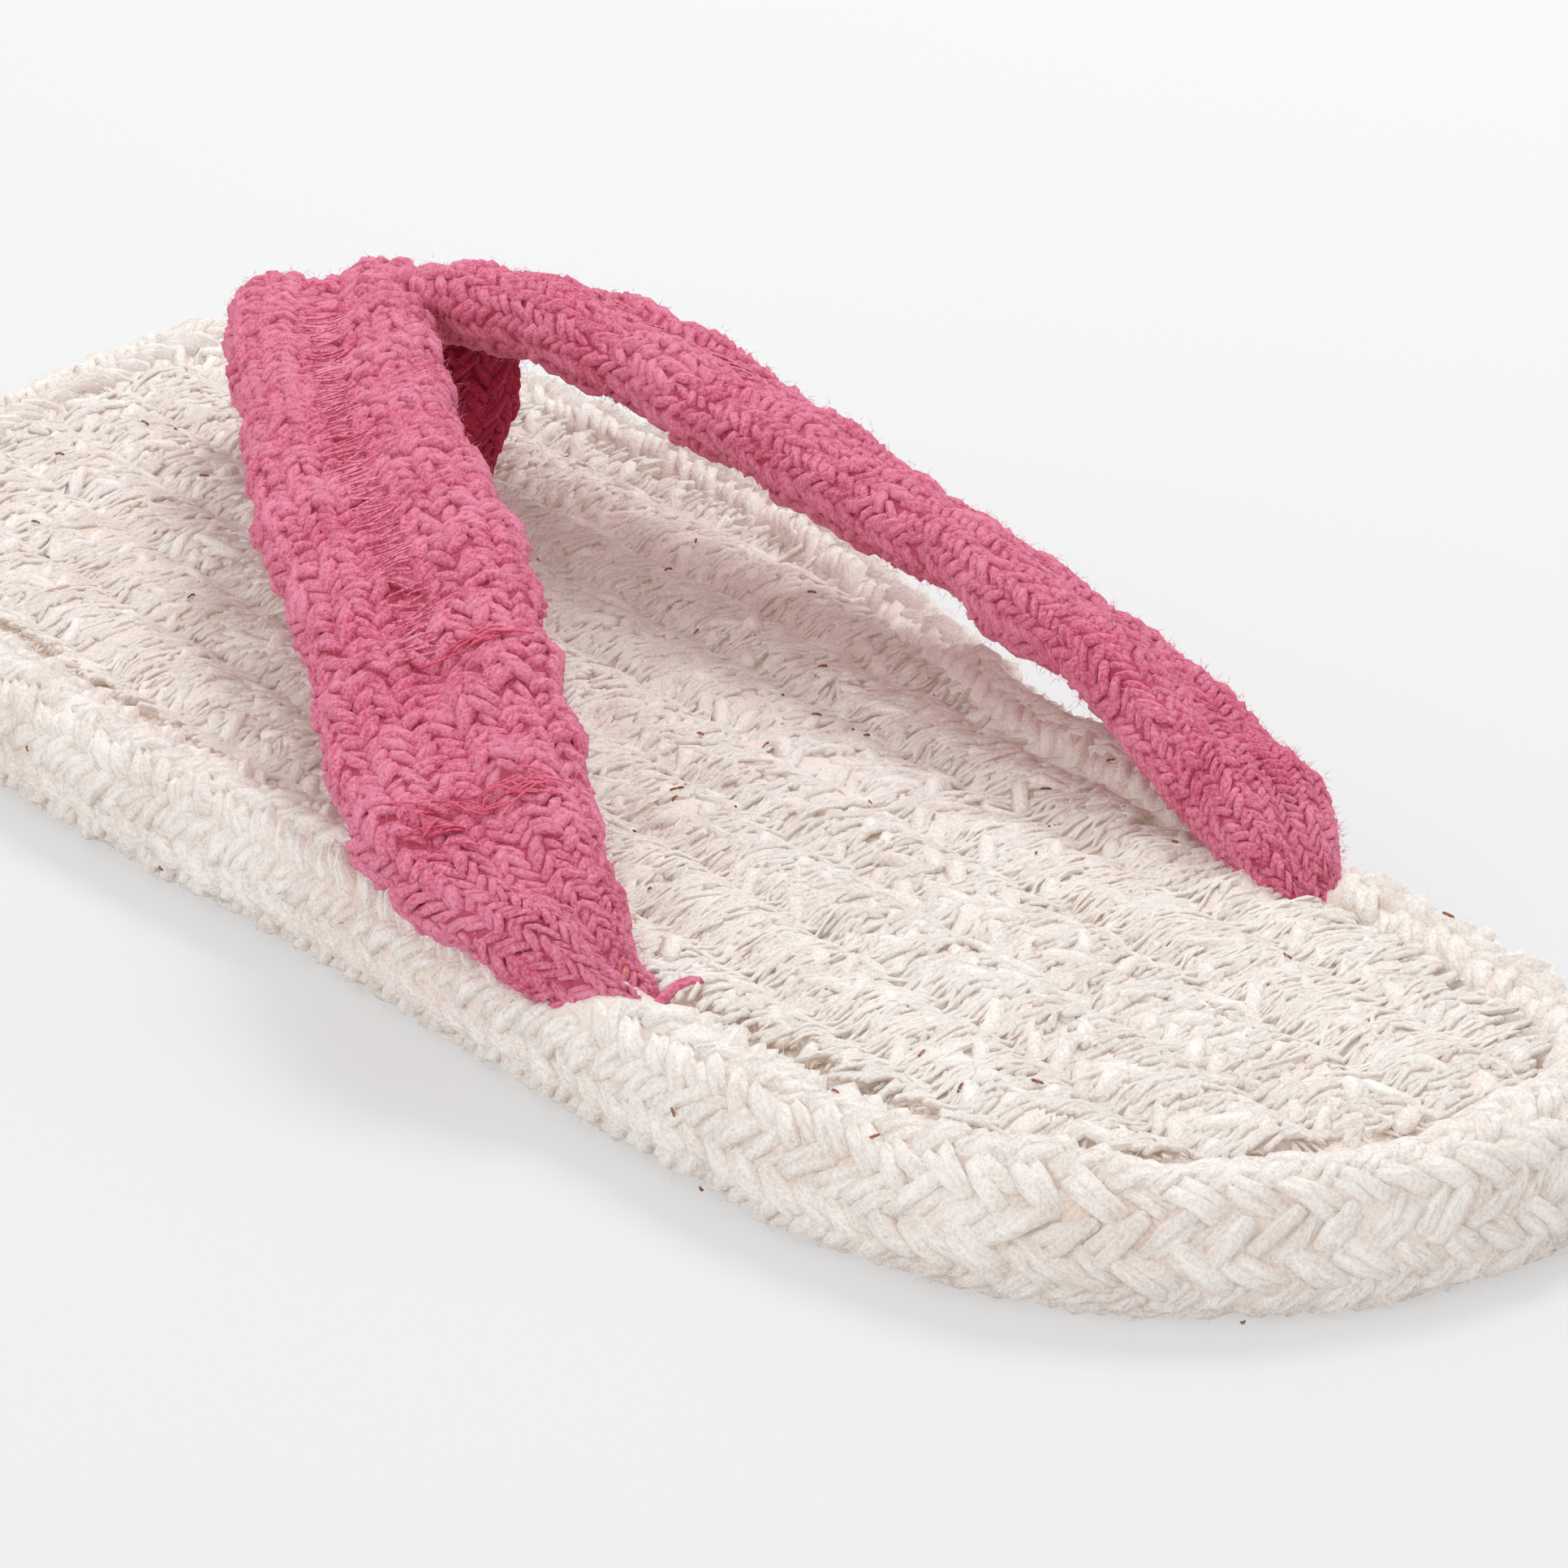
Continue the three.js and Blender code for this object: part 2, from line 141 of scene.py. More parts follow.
def lengths_along(line):
    return np.concatenate([[0.0], np.cumsum(np.linalg.norm(np.diff(line, axis=0), axis=1))])


def directions(line, closed):
    if closed:
        way = np.roll(line[:-1], -1, axis=0) - np.roll(line[:-1], 1, axis=0)
        way = np.vstack([way, way[:1]])
    else:
        way = np.gradient(line, axis=0)
    return way / np.linalg.norm(way, axis=1)[:, None]


def read_off(places, known, values):
    columns = [np.interp(places, known, values[:, i]) for i in range(values.shape[1])]
    return np.stack(columns, axis=1)


print("steps of a curve between two rows of a table:", SPAN_STEPS)

# %% [markdown]
# The sole's edge
#
# The table goes anticlockwise, seen from above, and starts at the heel's end. Its rows are
# shares of the length and of one of two widths, the heel's or the ball's, so a change of one
# size moves all that belongs to it.

# %% Draw the sole's edge
HEEL = (HEEL_SHIFT, HEEL_WIDTH)
BALL = (0.0, BALL_WIDTH)
SOLE_EDGE = [
    # place, share of the length, share of the width, which width
    ("heel end", -0.5, 0.03, HEEL),
    ("heel, medial corner", -0.478, 0.315, HEEL),
    ("heel, medial side", -0.437, 0.432, HEEL),
    ("heel, widest medial", -0.376, 0.478, HEEL),
    ("back of the arch", -0.3, 0.5, HEEL),
    ("arch", -0.18, 0.498, HEEL),
    ("front of the arch", -0.08, 0.368, BALL),
    ("behind the ball, medial", 0.03, 0.428, BALL),
    ("ball, medial", 0.14, 0.49, BALL),
    ("big toe joint", 0.25, 0.508, BALL),
    ("big toe side", 0.35, 0.495, BALL),
    ("big toe corner", 0.438, 0.438, BALL),
    ("big toe tip, medial", 0.486, 0.335, BALL),
    ("toe end", 0.5, 0.215, BALL),
    ("second toe", 0.48, 0.07, BALL),
    ("third toe", 0.445, -0.09, BALL),
    ("fourth toe", 0.402, -0.235, BALL),
    ("little toe tip", 0.338, -0.362, BALL),
    ("little toe", 0.26, -0.445, BALL),
    ("ball, lateral", 0.16, -0.488, BALL),
    ("behind the ball, lateral", 0.05, -0.482, BALL),
    ("lateral side", -0.08, -0.451, BALL),
    ("lateral waist", -0.2, -0.494, HEEL),
    ("heel, widest lateral", -0.31, -0.47, HEEL),
    ("heel, lateral side", -0.39, -0.43, HEEL),
    ("heel, lateral corner", -0.45, -0.335, HEEL),
    ("heel end, lateral", -0.488, -0.17, HEEL),
]

edge_points = [
    (shift + across * width, along * SOLE_LENGTH)
    for _, along, across, (shift, width) in SOLE_EDGE
]
edge_line = smooth_line(edge_points, closed=True)
edge_way = directions(edge_line, closed=True)
edge_out = np.stack([edge_way[:, 1], -edge_way[:, 0]], axis=1)

# The frame's origin is under the middle of the sandal, and the table's is under its last.
table_middle = (edge_line[:, 0].min() + edge_line[:, 0].max()) / 2
frame_middle = (cad_low.x + cad_high.x) / 2
TO_FRAME = frame_middle - table_middle
edge_line[:, 0] += TO_FRAME
print("outline moved sideways by mm:", round(TO_FRAME / MM, 2))


def spring_at(y):
    share = np.clip((y - SPRING_START) / (SOLE_LENGTH / 2 - SPRING_START), 0, 1)
    return TOE_SPRING * share ** 2


# %% [markdown]
# One strand
#
# Each strand of the rim's braid is two soft yarns lying side by side, and the finer braids have
# one. On top it is plump with blunt ends, and both ends dive under what crosses it. A stretched
# ball, with its end rings widened, has that shape with very few faces, and few faces matter,
# because the sandal has thousands of strands. The ball's poles point along the yarn, so its
# own UV map runs along the yarn too, and the fibre pattern can follow it later.

# %% Model one strand of yarns
YARN_SIDES = 5
YARN_RINGS = 4
YARN_POINTS = YARN_SIDES * (YARN_RINGS - 1) + 2
END_SHARE = 0.33
BLUNTNESS = 1.45
YARN_CLOSENESS = 0.6
STRAND_CROWN = 0.08


def make_active(piece):
    bpy.ops.object.select_all(action="DESELECT")
    piece.select_set(True)
    bpy.context.view_layer.objects.active = piece


def select_points(piece, chosen):
    bpy.ops.object.mode_set(mode="EDIT")
    bpy.ops.mesh.select_mode(type="VERT")
    bpy.ops.mesh.select_all(action="DESELECT")
    bpy.ops.object.mode_set(mode="OBJECT")
    for point in piece.data.vertices:
        point.select = bool(chosen(point.co))
    bpy.ops.object.mode_set(mode="EDIT")


def add_yarn(length, width, height, place=(0, 0, 0), dip=0, rings=YARN_RINGS, sides=YARN_SIDES):
    bpy.ops.mesh.primitive_uv_sphere_add(
        segments=sides, ring_count=rings, radius=0.5, rotation=(0, -math.pi / 2, 0))
    bpy.ops.object.transform_apply(location=False, rotation=True, scale=False)
    yarn = bpy.context.object
    select_points(yarn, lambda co: abs(co.x) > END_SHARE)
    bpy.ops.transform.resize(value=(1, BLUNTNESS, BLUNTNESS), center_override=(0, 0, 0))
    bpy.ops.mesh.select_all(action="SELECT")
    bpy.ops.transform.resize(value=(length, width, height), center_override=(0, 0, 0))
    bpy.ops.transform.translate(value=place)
    bpy.ops.object.mode_set(mode="OBJECT")
    select_points(yarn, lambda co: abs(co.x) > END_SHARE * length)
    bpy.ops.transform.translate(value=(0, 0, -dip))
    bpy.ops.object.mode_set(mode="OBJECT")
    return yarn


def join_pieces(pieces):
    bpy.ops.object.select_all(action="DESELECT")
    for piece in pieces:
        piece.select_set(True)
    bpy.context.view_layer.objects.active = pieces[0]
    if len(pieces) > 1:
        bpy.ops.object.join()
    return bpy.context.object


def add_strand(yarns, length, yarn_width, height, dip):
    parts = []
    for number in range(yarns):
        share = number - (yarns - 1) / 2
        place = (0, share * yarn_width * YARN_CLOSENESS, -STRAND_CROWN * height * share ** 2)
        parts.append(add_yarn(length, yarn_width, height, place, dip))
    return join_pieces(parts)


print("points on one yarn:", YARN_POINTS)

# %% [markdown]
# A flat braid
#
# In a round braid the strands cross in columns that run along it, and they lean one way in one
# column and the other way in the next. So a flat braid is a strand turned by its lean, copied
# by an Array modifier along a column, and the columns laid side by side, each half a step
# further, so that the ends of one column lie between the ends of the next. Real yarns are
# never equal, so each copy is then moved, turned and thickened a little by chance. Two numbers
# are left on every point for the material: how high it stands, and the yarn's own tone.

# %% Lay strands out as a flat braid
STRAND_REACH = 1.27
UNEVENNESS = 0.06
TURN_SPREAD = 0.12
SIZE_SPREAD = 0.07
DRIFT_SPREAD = 0.12


def array_along(piece, count, pitch):
    make_active(piece)
    modifier = piece.modifiers.new("copies", "ARRAY")
    modifier.count = count
    modifier.use_relative_offset = False
    modifier.use_constant_offset = True
    modifier.constant_offset_displace = (pitch, 0, 0)
    bpy.ops.object.modifier_apply(modifier="copies")


def point_array(piece):
    flat = np.empty(3 * len(piece.data.vertices), np.float32)
    piece.data.vertices.foreach_get("co", flat)
    return flat.reshape(-1, 3).astype(float)


def set_points(piece, points):
    piece.data.vertices.foreach_set("co", points.astype(np.float32).ravel())
    piece.data.update()


def set_number(piece, name, values):
    attribute = piece.data.attributes.get(name) or piece.data.attributes.new(name, "FLOAT", "POINT")
    attribute.data.foreach_set("value", np.asarray(values, np.float32))


def flat_braid(name, yarns, yarn_width, height, columns, column_width, count, pitch, lean, dip, unrest):
    length = STRAND_REACH * column_width / math.sin(lean)
    pieces = []
    for column in range(columns):
        strand = add_strand(yarns, length, yarn_width, height, dip)
        side = 1 if column % 2 == 0 else -1
        strand.rotation_euler = (0, 0, side * lean)
        strand.location = (column % 2 * pitch / 2, (column + 0.5) * column_width, 0)
        bpy.ops.object.transform_apply(location=True, rotation=True, scale=False)
        array_along(strand, count, pitch)
        pieces.append(strand)
    braid = join_pieces(pieces)
    braid.name = name
    braid.data.name = name
    shake_yarns(braid, yarn_width, unrest)
    return braid


def shake_yarns(braid, yarn_width, unrest):
    points = point_array(braid).reshape(-1, YARN_POINTS, 3)
    count = len(points)
    middle = points.mean(axis=1, keepdims=True)
    spokes = points - middle
    turn = chance.normal(0, TURN_SPREAD * unrest, count)[:, None]
    along, across = spokes[:, :, 0].copy(), spokes[:, :, 1].copy()
    spokes[:, :, 0] = along * np.cos(turn) - across * np.sin(turn)
    spokes[:, :, 1] = along * np.sin(turn) + across * np.cos(turn)
    spokes *= chance.normal(1, SIZE_SPREAD * unrest, (count, 1, 1))
    spokes += chance.normal(0, UNEVENNESS * yarn_width, spokes.shape)
    drift = chance.normal(0, DRIFT_SPREAD * yarn_width * unrest, (count, 1, 3))
    set_points(braid, (middle + spokes + drift).reshape(-1, 3))
    high = spokes[:, :, 2] + drift[:, :, 2]
    # The cotton paints shade into the low parts from this height.
    set_number(braid, "raised", ((high - high.min()) / (high.max() - high.min())).ravel())
    set_number(braid, "tone", np.repeat(chance.random(count), YARN_POINTS))


print("a strand is longer than its column is wide, by the factor:", STRAND_REACH)

# %% [markdown]
# Soft lumps
#
# Handwork is never even, so every form swells and sinks a little from place to place. The waves
# are drawn once for a form, and the braid, the core under it and the threads on it all read the
# same ones, so they rise and fall together. A Displace modifier would push each piece along its
# own normals instead, and the core would come through the braid.

# %% Waves that all pieces on a form share
WAVE_NUMBER = 9


class SoftLumps:
    """A wavy number round zero for any place, shared by all that lies on one form."""

    def __init__(self, size):
        self.waves = chance.normal(0, 1 / size, (WAVE_NUMBER, 3))
        self.starts = chance.uniform(0, 2 * np.pi, WAVE_NUMBER)

    def at(self, points):
        return np.sin(points @ self.waves.T * 2 * np.pi + self.starts).mean(axis=-1)


print("waves on each form:", WAVE_NUMBER)

# %% [markdown]
# Finishing a piece
#
# Every piece ends in the same way. Its faces are turned outwards and shaded smooth, it is hung
# on the frame's root body, and the frame's solids that it stands for, if any, are hidden.

# %% Finish a piece
triangle_counts = []


def recalculate(piece):
    make_active(piece)
    bpy.ops.object.mode_set(mode="EDIT")
    bpy.ops.mesh.select_all(action="SELECT")
    bpy.ops.mesh.normals_make_consistent(inside=False)
    bpy.ops.object.mode_set(mode="OBJECT")


def finish_piece(piece, node_names):
    recalculate(piece)
    bpy.ops.object.shade_smooth()
    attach(piece, "root")
    if node_names:
        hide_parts(*node_names)
    triangles = sum(len(face.vertices) - 2 for face in piece.data.polygons)
    triangle_counts.append(triangles)
    print(piece.name, "triangles:", triangles, "of all:", sum(triangle_counts))

# %% [markdown]
# The rim braid
#
# The rim is a round braid, a little flattened where it stands on the floor. It is one ring, so
# the number of strands along it is rounded until it closes, and its section is a short table
# again. Wrapping is plain geometry: how far a point is along the flat braid says where it is
# round the sole, how far it is across says where it is round the section, and its height says
# how far it stands out. A Curve modifier would do that too, but it can't keep a section's
# flat foot, and it would turn the braid where the toe springs up.

# %% The rim's line and section
RIM_SECTION = [
    # place, share of half the width outwards, share of the height
    ("foot, inner", -0.5, 0),
    ("foot, outer", 0.42, 0),
    ("lower side", 0.84, 0.17),
    ("side", 0.99, 0.44),
    ("upper side", 0.82, 0.74),
    ("crown, outer", 0.4, 0.94),
    ("crown, inner", -0.22, 0.96),
    ("inner shoulder", -0.74, 0.8),
    ("inner side", -1, 0.5),
    ("inner foot", -0.96, 0.16),
]
RIM_PITCH = 3.3 * MM
RIM_LUMPS = 1.2 * MM
RIM_LUMP_SIZE = 14 * MM
rim_lumps = SoftLumps(RIM_LUMP_SIZE)

rim_line = edge_line - edge_out * RIM_WIDTH / 2
rim_places = lengths_along(rim_line)
rim_length = rim_places[-1]
rim_count = round(rim_length / RIM_PITCH)
print("rim braid length in mm:", round(rim_length / MM), "strands along it:", rim_count)

section_points = [(out * RIM_WIDTH / 2, up * RIM_HEIGHT) for _, out, up in RIM_SECTION]
rim_section = smooth_line(section_points, closed=True)
section_way = directions(rim_section, closed=True)
section_out = np.stack([section_way[:, 1], -section_way[:, 0]], axis=1)
section_places = lengths_along(rim_section)
section_length = section_places[-1]


def on_rim(points, sink):
    along = np.mod(points[:, 0], rim_length)
    around = np.mod(points[:, 1], section_length)
    middle = read_off(along, rim_places, rim_line)
    outward = read_off(along, rim_places, edge_out)
    section = read_off(around, section_places, rim_section)
    section = section + (points[:, 2] - sink)[:, None] * read_off(around, section_places, section_out)
    place = np.empty_like(points)
    place[:, :2] = middle + outward * section[:, :1]
    place[:, 2] = section[:, 1]
    lifted = RIM_LUMPS * rim_lumps.at(place) * section[:, 1] / RIM_HEIGHT
    place[:, 2] = np.maximum(place[:, 2] + lifted, 0) + spring_at(place[:, 1])
    return place

# %% [markdown]
# Braiding the rim
#
# The rim is the coarsest braid of the sandal, and its strands can be counted in the photograph.
# Twelve columns go round the section, an even number, so that the last column leans against the
# first. The yarns are sunk into the section, and only their backs stand out of it.

# %% Braid the rim and wrap it round the sole
RIM_COLUMNS = 12
RIM_LEAN = math.radians(43)
RIM_YARN_WIDTH = 1.55 * MM
RIM_STRAND_HEIGHT = 2.3 * MM
RIM_DIP = 0.35 * MM
RIM_SINK = 0.85 * MM

rim = flat_braid(
    "rim_braid", yarns=2, yarn_width=RIM_YARN_WIDTH, height=RIM_STRAND_HEIGHT,
    columns=RIM_COLUMNS, column_width=section_length / RIM_COLUMNS,
    count=rim_count, pitch=rim_length / rim_count, lean=RIM_LEAN, dip=RIM_DIP, unrest=1)
set_points(rim, on_rim(point_array(rim), RIM_SINK))
finish_piece(rim, ["sole_rim"])

# %% [markdown]
# What lies under the strands
#
# Between the strands one looks into the braid, not through it. A plain core under them closes
# the pits. It is a flat grid, wrapped in the same way as the braid but a little lower, and its
# edges are merged where they meet.

# %% The rim's core
CORE_STEP = 2.5 * MM
RIM_CORE_STEPS_ROUND = 20
RIM_CORE_SINK = 0.72 * MM
# The core's raised number is made up, not a height: it sets how much painted pit shade the cotton gives
# it.
RIM_CORE_RAISED = 0.5
MERGE_DISTANCE = 0.01 * MM
MIDDLE_TONE = 0.5


def add_sheet(name, long, wide, long_steps, wide_steps):
    bpy.ops.mesh.primitive_grid_add(x_subdivisions=long_steps, y_subdivisions=wide_steps, size=1)
    sheet = bpy.context.object
    sheet.name = name
    sheet.data.name = name
    bpy.ops.object.mode_set(mode="EDIT")
    bpy.ops.mesh.select_all(action="SELECT")
    bpy.ops.transform.resize(value=(long, wide, 1), center_override=(0, 0, 0))
    bpy.ops.transform.translate(value=(long / 2, wide / 2, 0))
    bpy.ops.object.mode_set(mode="OBJECT")
    return sheet


def close_up(piece, raised):
    make_active(piece)
    bpy.ops.object.mode_set(mode="EDIT")
    bpy.ops.mesh.select_all(action="SELECT")
    bpy.ops.mesh.remove_doubles(threshold=MERGE_DISTANCE)
    bpy.ops.mesh.select_all(action="SELECT")
    bpy.ops.mesh.fill_holes(sides=0)
    bpy.ops.object.mode_set(mode="OBJECT")
    # This raised number is not a height: it sets how much painted pit shade the material gives the
    # whole piece.
    set_number(piece, "raised", np.full(len(piece.data.vertices), raised))
    set_number(piece, "tone", np.full(len(piece.data.vertices), MIDDLE_TONE))


rim_core = add_sheet(
    "rim_core", rim_length, section_length, round(rim_length / CORE_STEP), RIM_CORE_STEPS_ROUND)
set_points(rim_core, on_rim(point_array(rim_core), RIM_CORE_SINK))
close_up(rim_core, RIM_CORE_RAISED)
finish_piece(rim_core, [])

# %% [markdown]
# The inner rows
#
# Inside the rim the braids run straight from heel to toe, side by side, with a groove between
# each two. Their form is a height for each place on the sole: crowned across each row, lumpy,
# and rising with the toe spring. It ends at the seam, where the rim's inner side begins.

# %% The rows' form
ROW_LUMPS = 0.9 * MM
ROW_LUMP_SIZE = 9 * MM
LIMIT_EDGE = 0.2 * MM
LIMIT_STEPS = 400
row_lumps = SoftLumps(ROW_LUMP_SIZE)

inside_line = edge_line - edge_out * (RIM_WIDTH + SEAM_GAP)


def row_top(x, y):
    across = (x - TO_FRAME - ROW_SHIFT) / ROW_PITCH
    share = np.abs(across - np.round(across)) * 2
    lifted = ROW_LUMPS * row_lumps.at(np.stack([x, y, 0 * x], axis=-1))
    return ROW_HEIGHT - ROW_GROOVE * share ** 3 + lifted + spring_at(y)


def inside_limits(y):
    rising = inside_line[:-1]
    following = inside_line[1:]
    crossed = (rising[:, 1] - y) * (following[:, 1] - y) <= 0
    crossed &= rising[:, 1] != following[:, 1]
    share = (y - rising[crossed, 1]) / (following[crossed, 1] - rising[crossed, 1])
    sides = rising[crossed, 0] + share * (following[crossed, 0] - rising[crossed, 0])
    return sides.min(), sides.max()


inside_low = inside_line[:, 1].min()
inside_high = inside_line[:, 1].max()
limit_places = np.linspace(inside_low + LIMIT_EDGE, inside_high - LIMIT_EDGE, LIMIT_STEPS)
limits = np.array([inside_limits(y) for y in limit_places])
print("length inside the rim in mm:", round((inside_high - inside_low) / MM, 1))


def is_inside(x, y, margin):
    low = np.interp(y, limit_places, limits[:, 0])
    high = np.interp(y, limit_places, limits[:, 1])
    fits = (x > low + margin) & (x < high - margin)
    return fits & (y > inside_low + margin) & (y < inside_high - margin)

# %% [markdown]
# Braiding the rows
#
# A row is the same braid, pressed flat, so four columns of single yarns show on it. The strands
# are laid out over a rectangle, the ones that would lie outside the rim are left out, and the
# rest are lifted onto the form. A copy, turned upside down by its heights alone, is the sole's
# underside. Nobody sees it in use, but a part can be turned over.

# %% Lay the strands on the rows
ROW_COLUMNS = 4
ROW_PITCH_ALONG = 3.2 * MM
ROW_LEAN = math.radians(36)
ROW_YARN_WIDTH = 1.7 * MM
ROW_STRAND_HEIGHT = 1 * MM
ROW_DIP = 0.25 * MM
ROW_UNREST = 1.25
ROW_SINK = 0.5 * MM
ROW_EDGE = 0.6 * MM


def keep_yarns(braid, kept):
    make_active(braid)
    bpy.ops.object.mode_set(mode="EDIT")
    bpy.ops.mesh.select_mode(type="VERT")
    bpy.ops.mesh.select_all(action="DESELECT")
    bpy.ops.object.mode_set(mode="OBJECT")
    braid.data.vertices.foreach_set("select", np.repeat(~kept, YARN_POINTS))
    bpy.ops.object.mode_set(mode="EDIT")
    bpy.ops.mesh.delete(type="VERT")
    bpy.ops.object.mode_set(mode="OBJECT")


row_number = math.ceil(BALL_WIDTH / 2 / ROW_PITCH)
row_columns = ROW_COLUMNS * (2 * row_number + 1)
row_count = math.ceil(SOLE_LENGTH / ROW_PITCH_ALONG)
rows = flat_braid(
    "row_braids", yarns=1, yarn_width=ROW_YARN_WIDTH, height=ROW_STRAND_HEIGHT,
    columns=row_columns, column_width=ROW_PITCH / ROW_COLUMNS,
    count=row_count, pitch=ROW_PITCH_ALONG, lean=ROW_LEAN, dip=ROW_DIP, unrest=ROW_UNREST)
row_points = point_array(rows)
laid = np.empty_like(row_points)
laid[:, 0] = TO_FRAME + ROW_SHIFT - (row_points[:, 1] - row_columns * ROW_PITCH / ROW_COLUMNS / 2)
laid[:, 1] = row_points[:, 0] - SOLE_LENGTH / 2
laid[:, 2] = row_top(laid[:, 0], laid[:, 1]) - ROW_SINK + row_points[:, 2]
set_points(rows, laid)
yarn_middles = laid.reshape(-1, YARN_POINTS, 3).mean(axis=1)
keep_yarns(rows, is_inside(yarn_middles[:, 0], yarn_middles[:, 1], -ROW_EDGE))

make_active(rows)
bpy.ops.object.duplicate()
rows_below = bpy.context.object
rows_below.name = "row_braids_below"
rows_below.data.name = "row_braids_below"
below = point_array(rows_below)
stands_out = below[:, 2] - row_top(below[:, 0], below[:, 1])
below[:, 2] = np.maximum(-stands_out, 0) + spring_at(below[:, 1])
set_points(rows_below, below)

finish_piece(rows, ["sole_rows"])
finish_piece(rows_below, [])

# %% [markdown]
# The bed under the rows
#
# The bed does for the rows what the core does for the rim. It is a sheet, extruded downwards to
# make a flat block, whose top then takes the rows' form and whose underside the floor's.

# %% Make the bed
BED_STEPS_LONG = 100
BED_STEPS_WIDE = 46
BED_SINK = 0.34 * MM
BED_LIFT = 0.7 * MM
# The bed and the seam cord take this raised number, so they are painted with some pit shade.
ROW_BED_RAISED = 0.53

bed = add_sheet("row_bed", 1, 1, BED_STEPS_LONG, BED_STEPS_WIDE)
bpy.ops.object.mode_set(mode="EDIT")
bpy.ops.mesh.select_all(action="SELECT")
bpy.ops.mesh.extrude_region_move(TRANSFORM_OT_translate={"value": (0, 0, -1)})
bpy.ops.object.mode_set(mode="OBJECT")
bed_points = point_array(bed)
bed_share = (1 - np.cos(np.pi * bed_points[:, 0])) / 2
bed_y = limit_places[0] + bed_share * (limit_places[-1] - limit_places[0])
bed_low = np.interp(bed_y, limit_places, limits[:, 0])
bed_high = np.interp(bed_y, limit_places, limits[:, 1])
bed_x = bed_low + bed_points[:, 1] * (bed_high - bed_low)
is_below = bed_points[:, 2] < -0.5
bed_z = np.where(is_below, spring_at(bed_y) + BED_LIFT, row_top(bed_x, bed_y) - BED_SINK)
set_points(bed, np.stack([bed_x, bed_y, bed_z], axis=1))
close_up(bed, ROW_BED_RAISED)
finish_piece(bed, [])

# %% [markdown]
# The straps
#
# Each strap is two cords sewn side by side, so its section is wide, with a valley along the
# middle. It starts over the post, rises a little, and comes down to the seam beside the foot,
# narrowing as it goes in. The rows of the tables say where the middle of the strap is and how
# wide, thick and tilted it is there. The braid is finer than the rim's.

# %% The straps' tables and section
LATERAL_STRAP = [
    # place, across, along, rise, width, thickness, roll in degrees
    ("front end", 0.18, 0.352, 0.58, 0.4, 0.5, 0),
    ("rounded front", 0.172, 0.34, 0.76, 0.8, 0.86, 2),
    ("over the post", 0.14, 0.306, 0.95, 1, 1, 6),
    ("behind the post", 0.072, 0.258, 1.02, 0.98, 1, 12),
    ("forefoot", -0.037, 0.169, 1, 0.95, 1, 18),
    ("ball", -0.138, 0.077, 0.967, 0.95, 1, 20),
    ("instep", -0.21, -0.004, 0.9, 1, 1, 20),
    ("upper side", -0.27, -0.067, 0.767, 1, 1, 20),
    ("side", -0.328, -0.123, 0.6, 1, 1, 20),
    ("over the rim", -0.366, -0.17, 0.42, 0.95, 1, 14),
    ("narrowing", -0.38, -0.21, 0.24, 0.76, 0.95, 6),
    ("into the seam", -0.376, -0.24, 0.05, 0.5, 0.85, -8),
    ("in the seam", -0.36, -0.262, -0.14, 0.28, 0.7, -10),
    ("tip", -0.348, -0.274, -0.27, 0.14, 0.45, -10),
]
MEDIAL_STRAP = [
    # place, across, along, rise, width, thickness, roll in degrees
    ("front end", 0.214, 0.324, 0.48, 0.4, 0.5, 0),
    ("rounded front", 0.22, 0.313, 0.67, 0.8, 0.86, 4),
    ("over the post", 0.232, 0.28, 0.97, 1, 1, 10),
    ("behind the post", 0.247, 0.222, 1.15, 1, 1, 16),
    ("forefoot", 0.268, 0.145, 1.12, 1, 1, 20),
    ("ball", 0.284, 0.065, 0.96, 1, 0.96, 24),
    ("instep", 0.293, -0.01, 0.82, 0.96, 0.9, 28),
    ("upper side", 0.297, -0.088, 0.68, 0.9, 0.84, 31),
    ("side", 0.295, -0.15, 0.53, 0.84, 0.82, 30),
    ("over the rim", 0.287, -0.197, 0.38, 0.76, 0.84, 24),
    ("narrowing", 0.276, -0.234, 0.22, 0.62, 0.86, 14),
    ("into the seam", 0.264, -0.262, 0.04, 0.44, 0.8, 0),
    ("in the seam", 0.257, -0.28, -0.12, 0.28, 0.65, 0),
    ("tip", 0.253, -0.29, -0.25, 0.14, 0.45, 0),
]
STRAP_SECTION = [
    # place, share of half the width, share of half the thickness
    ("outer edge", 1, 0),
    ("outer cord, shoulder", 0.84, 0.72),
    ("outer cord, crest", 0.46, 1),
    ("valley", 0, 0.7),
    ("inner cord, crest", -0.46, 1),
    ("inner cord, shoulder", -0.84, 0.72),
    ("inner edge", -1, 0),
    ("inner cord, lower shoulder", -0.84, -0.72),
    ("inner cord, underside", -0.46, -1),
    ("lower valley", 0, -0.7),
    ("outer cord, underside", 0.46, -1),
    ("outer cord, lower shoulder", 0.84, -0.72),
]

section_points = [
    (across * STRAP_WIDTH / 2, up * STRAP_THICKNESS / 2)
    for _, across, up in STRAP_SECTION
]
strap_section = smooth_line(section_points, closed=True)
strap_round = lengths_along(strap_section)
strap_way = directions(strap_section, closed=True)
strap_girth = strap_round[-1]
print("round a strap in mm:", round(strap_girth / MM, 1))

# %% [markdown]
# Wrapping onto a strap
#
# A strap's form knows its middle line, and which way is across and which way is out at each
# place. A flat braid is wrapped onto it as onto the rim. Where the strap narrows, its strands
# narrow too, and so they must also be shorter, or they would look stretched. That is why the
# flat braid is longer than the strap and is drawn together along it first.

# %% A strap's line, and wrapping onto it
STRAP_LUMPS = 1.6 * MM
STRAP_LUMP_SIZE = 15 * MM
SMALLEST_STRAND = 0.6


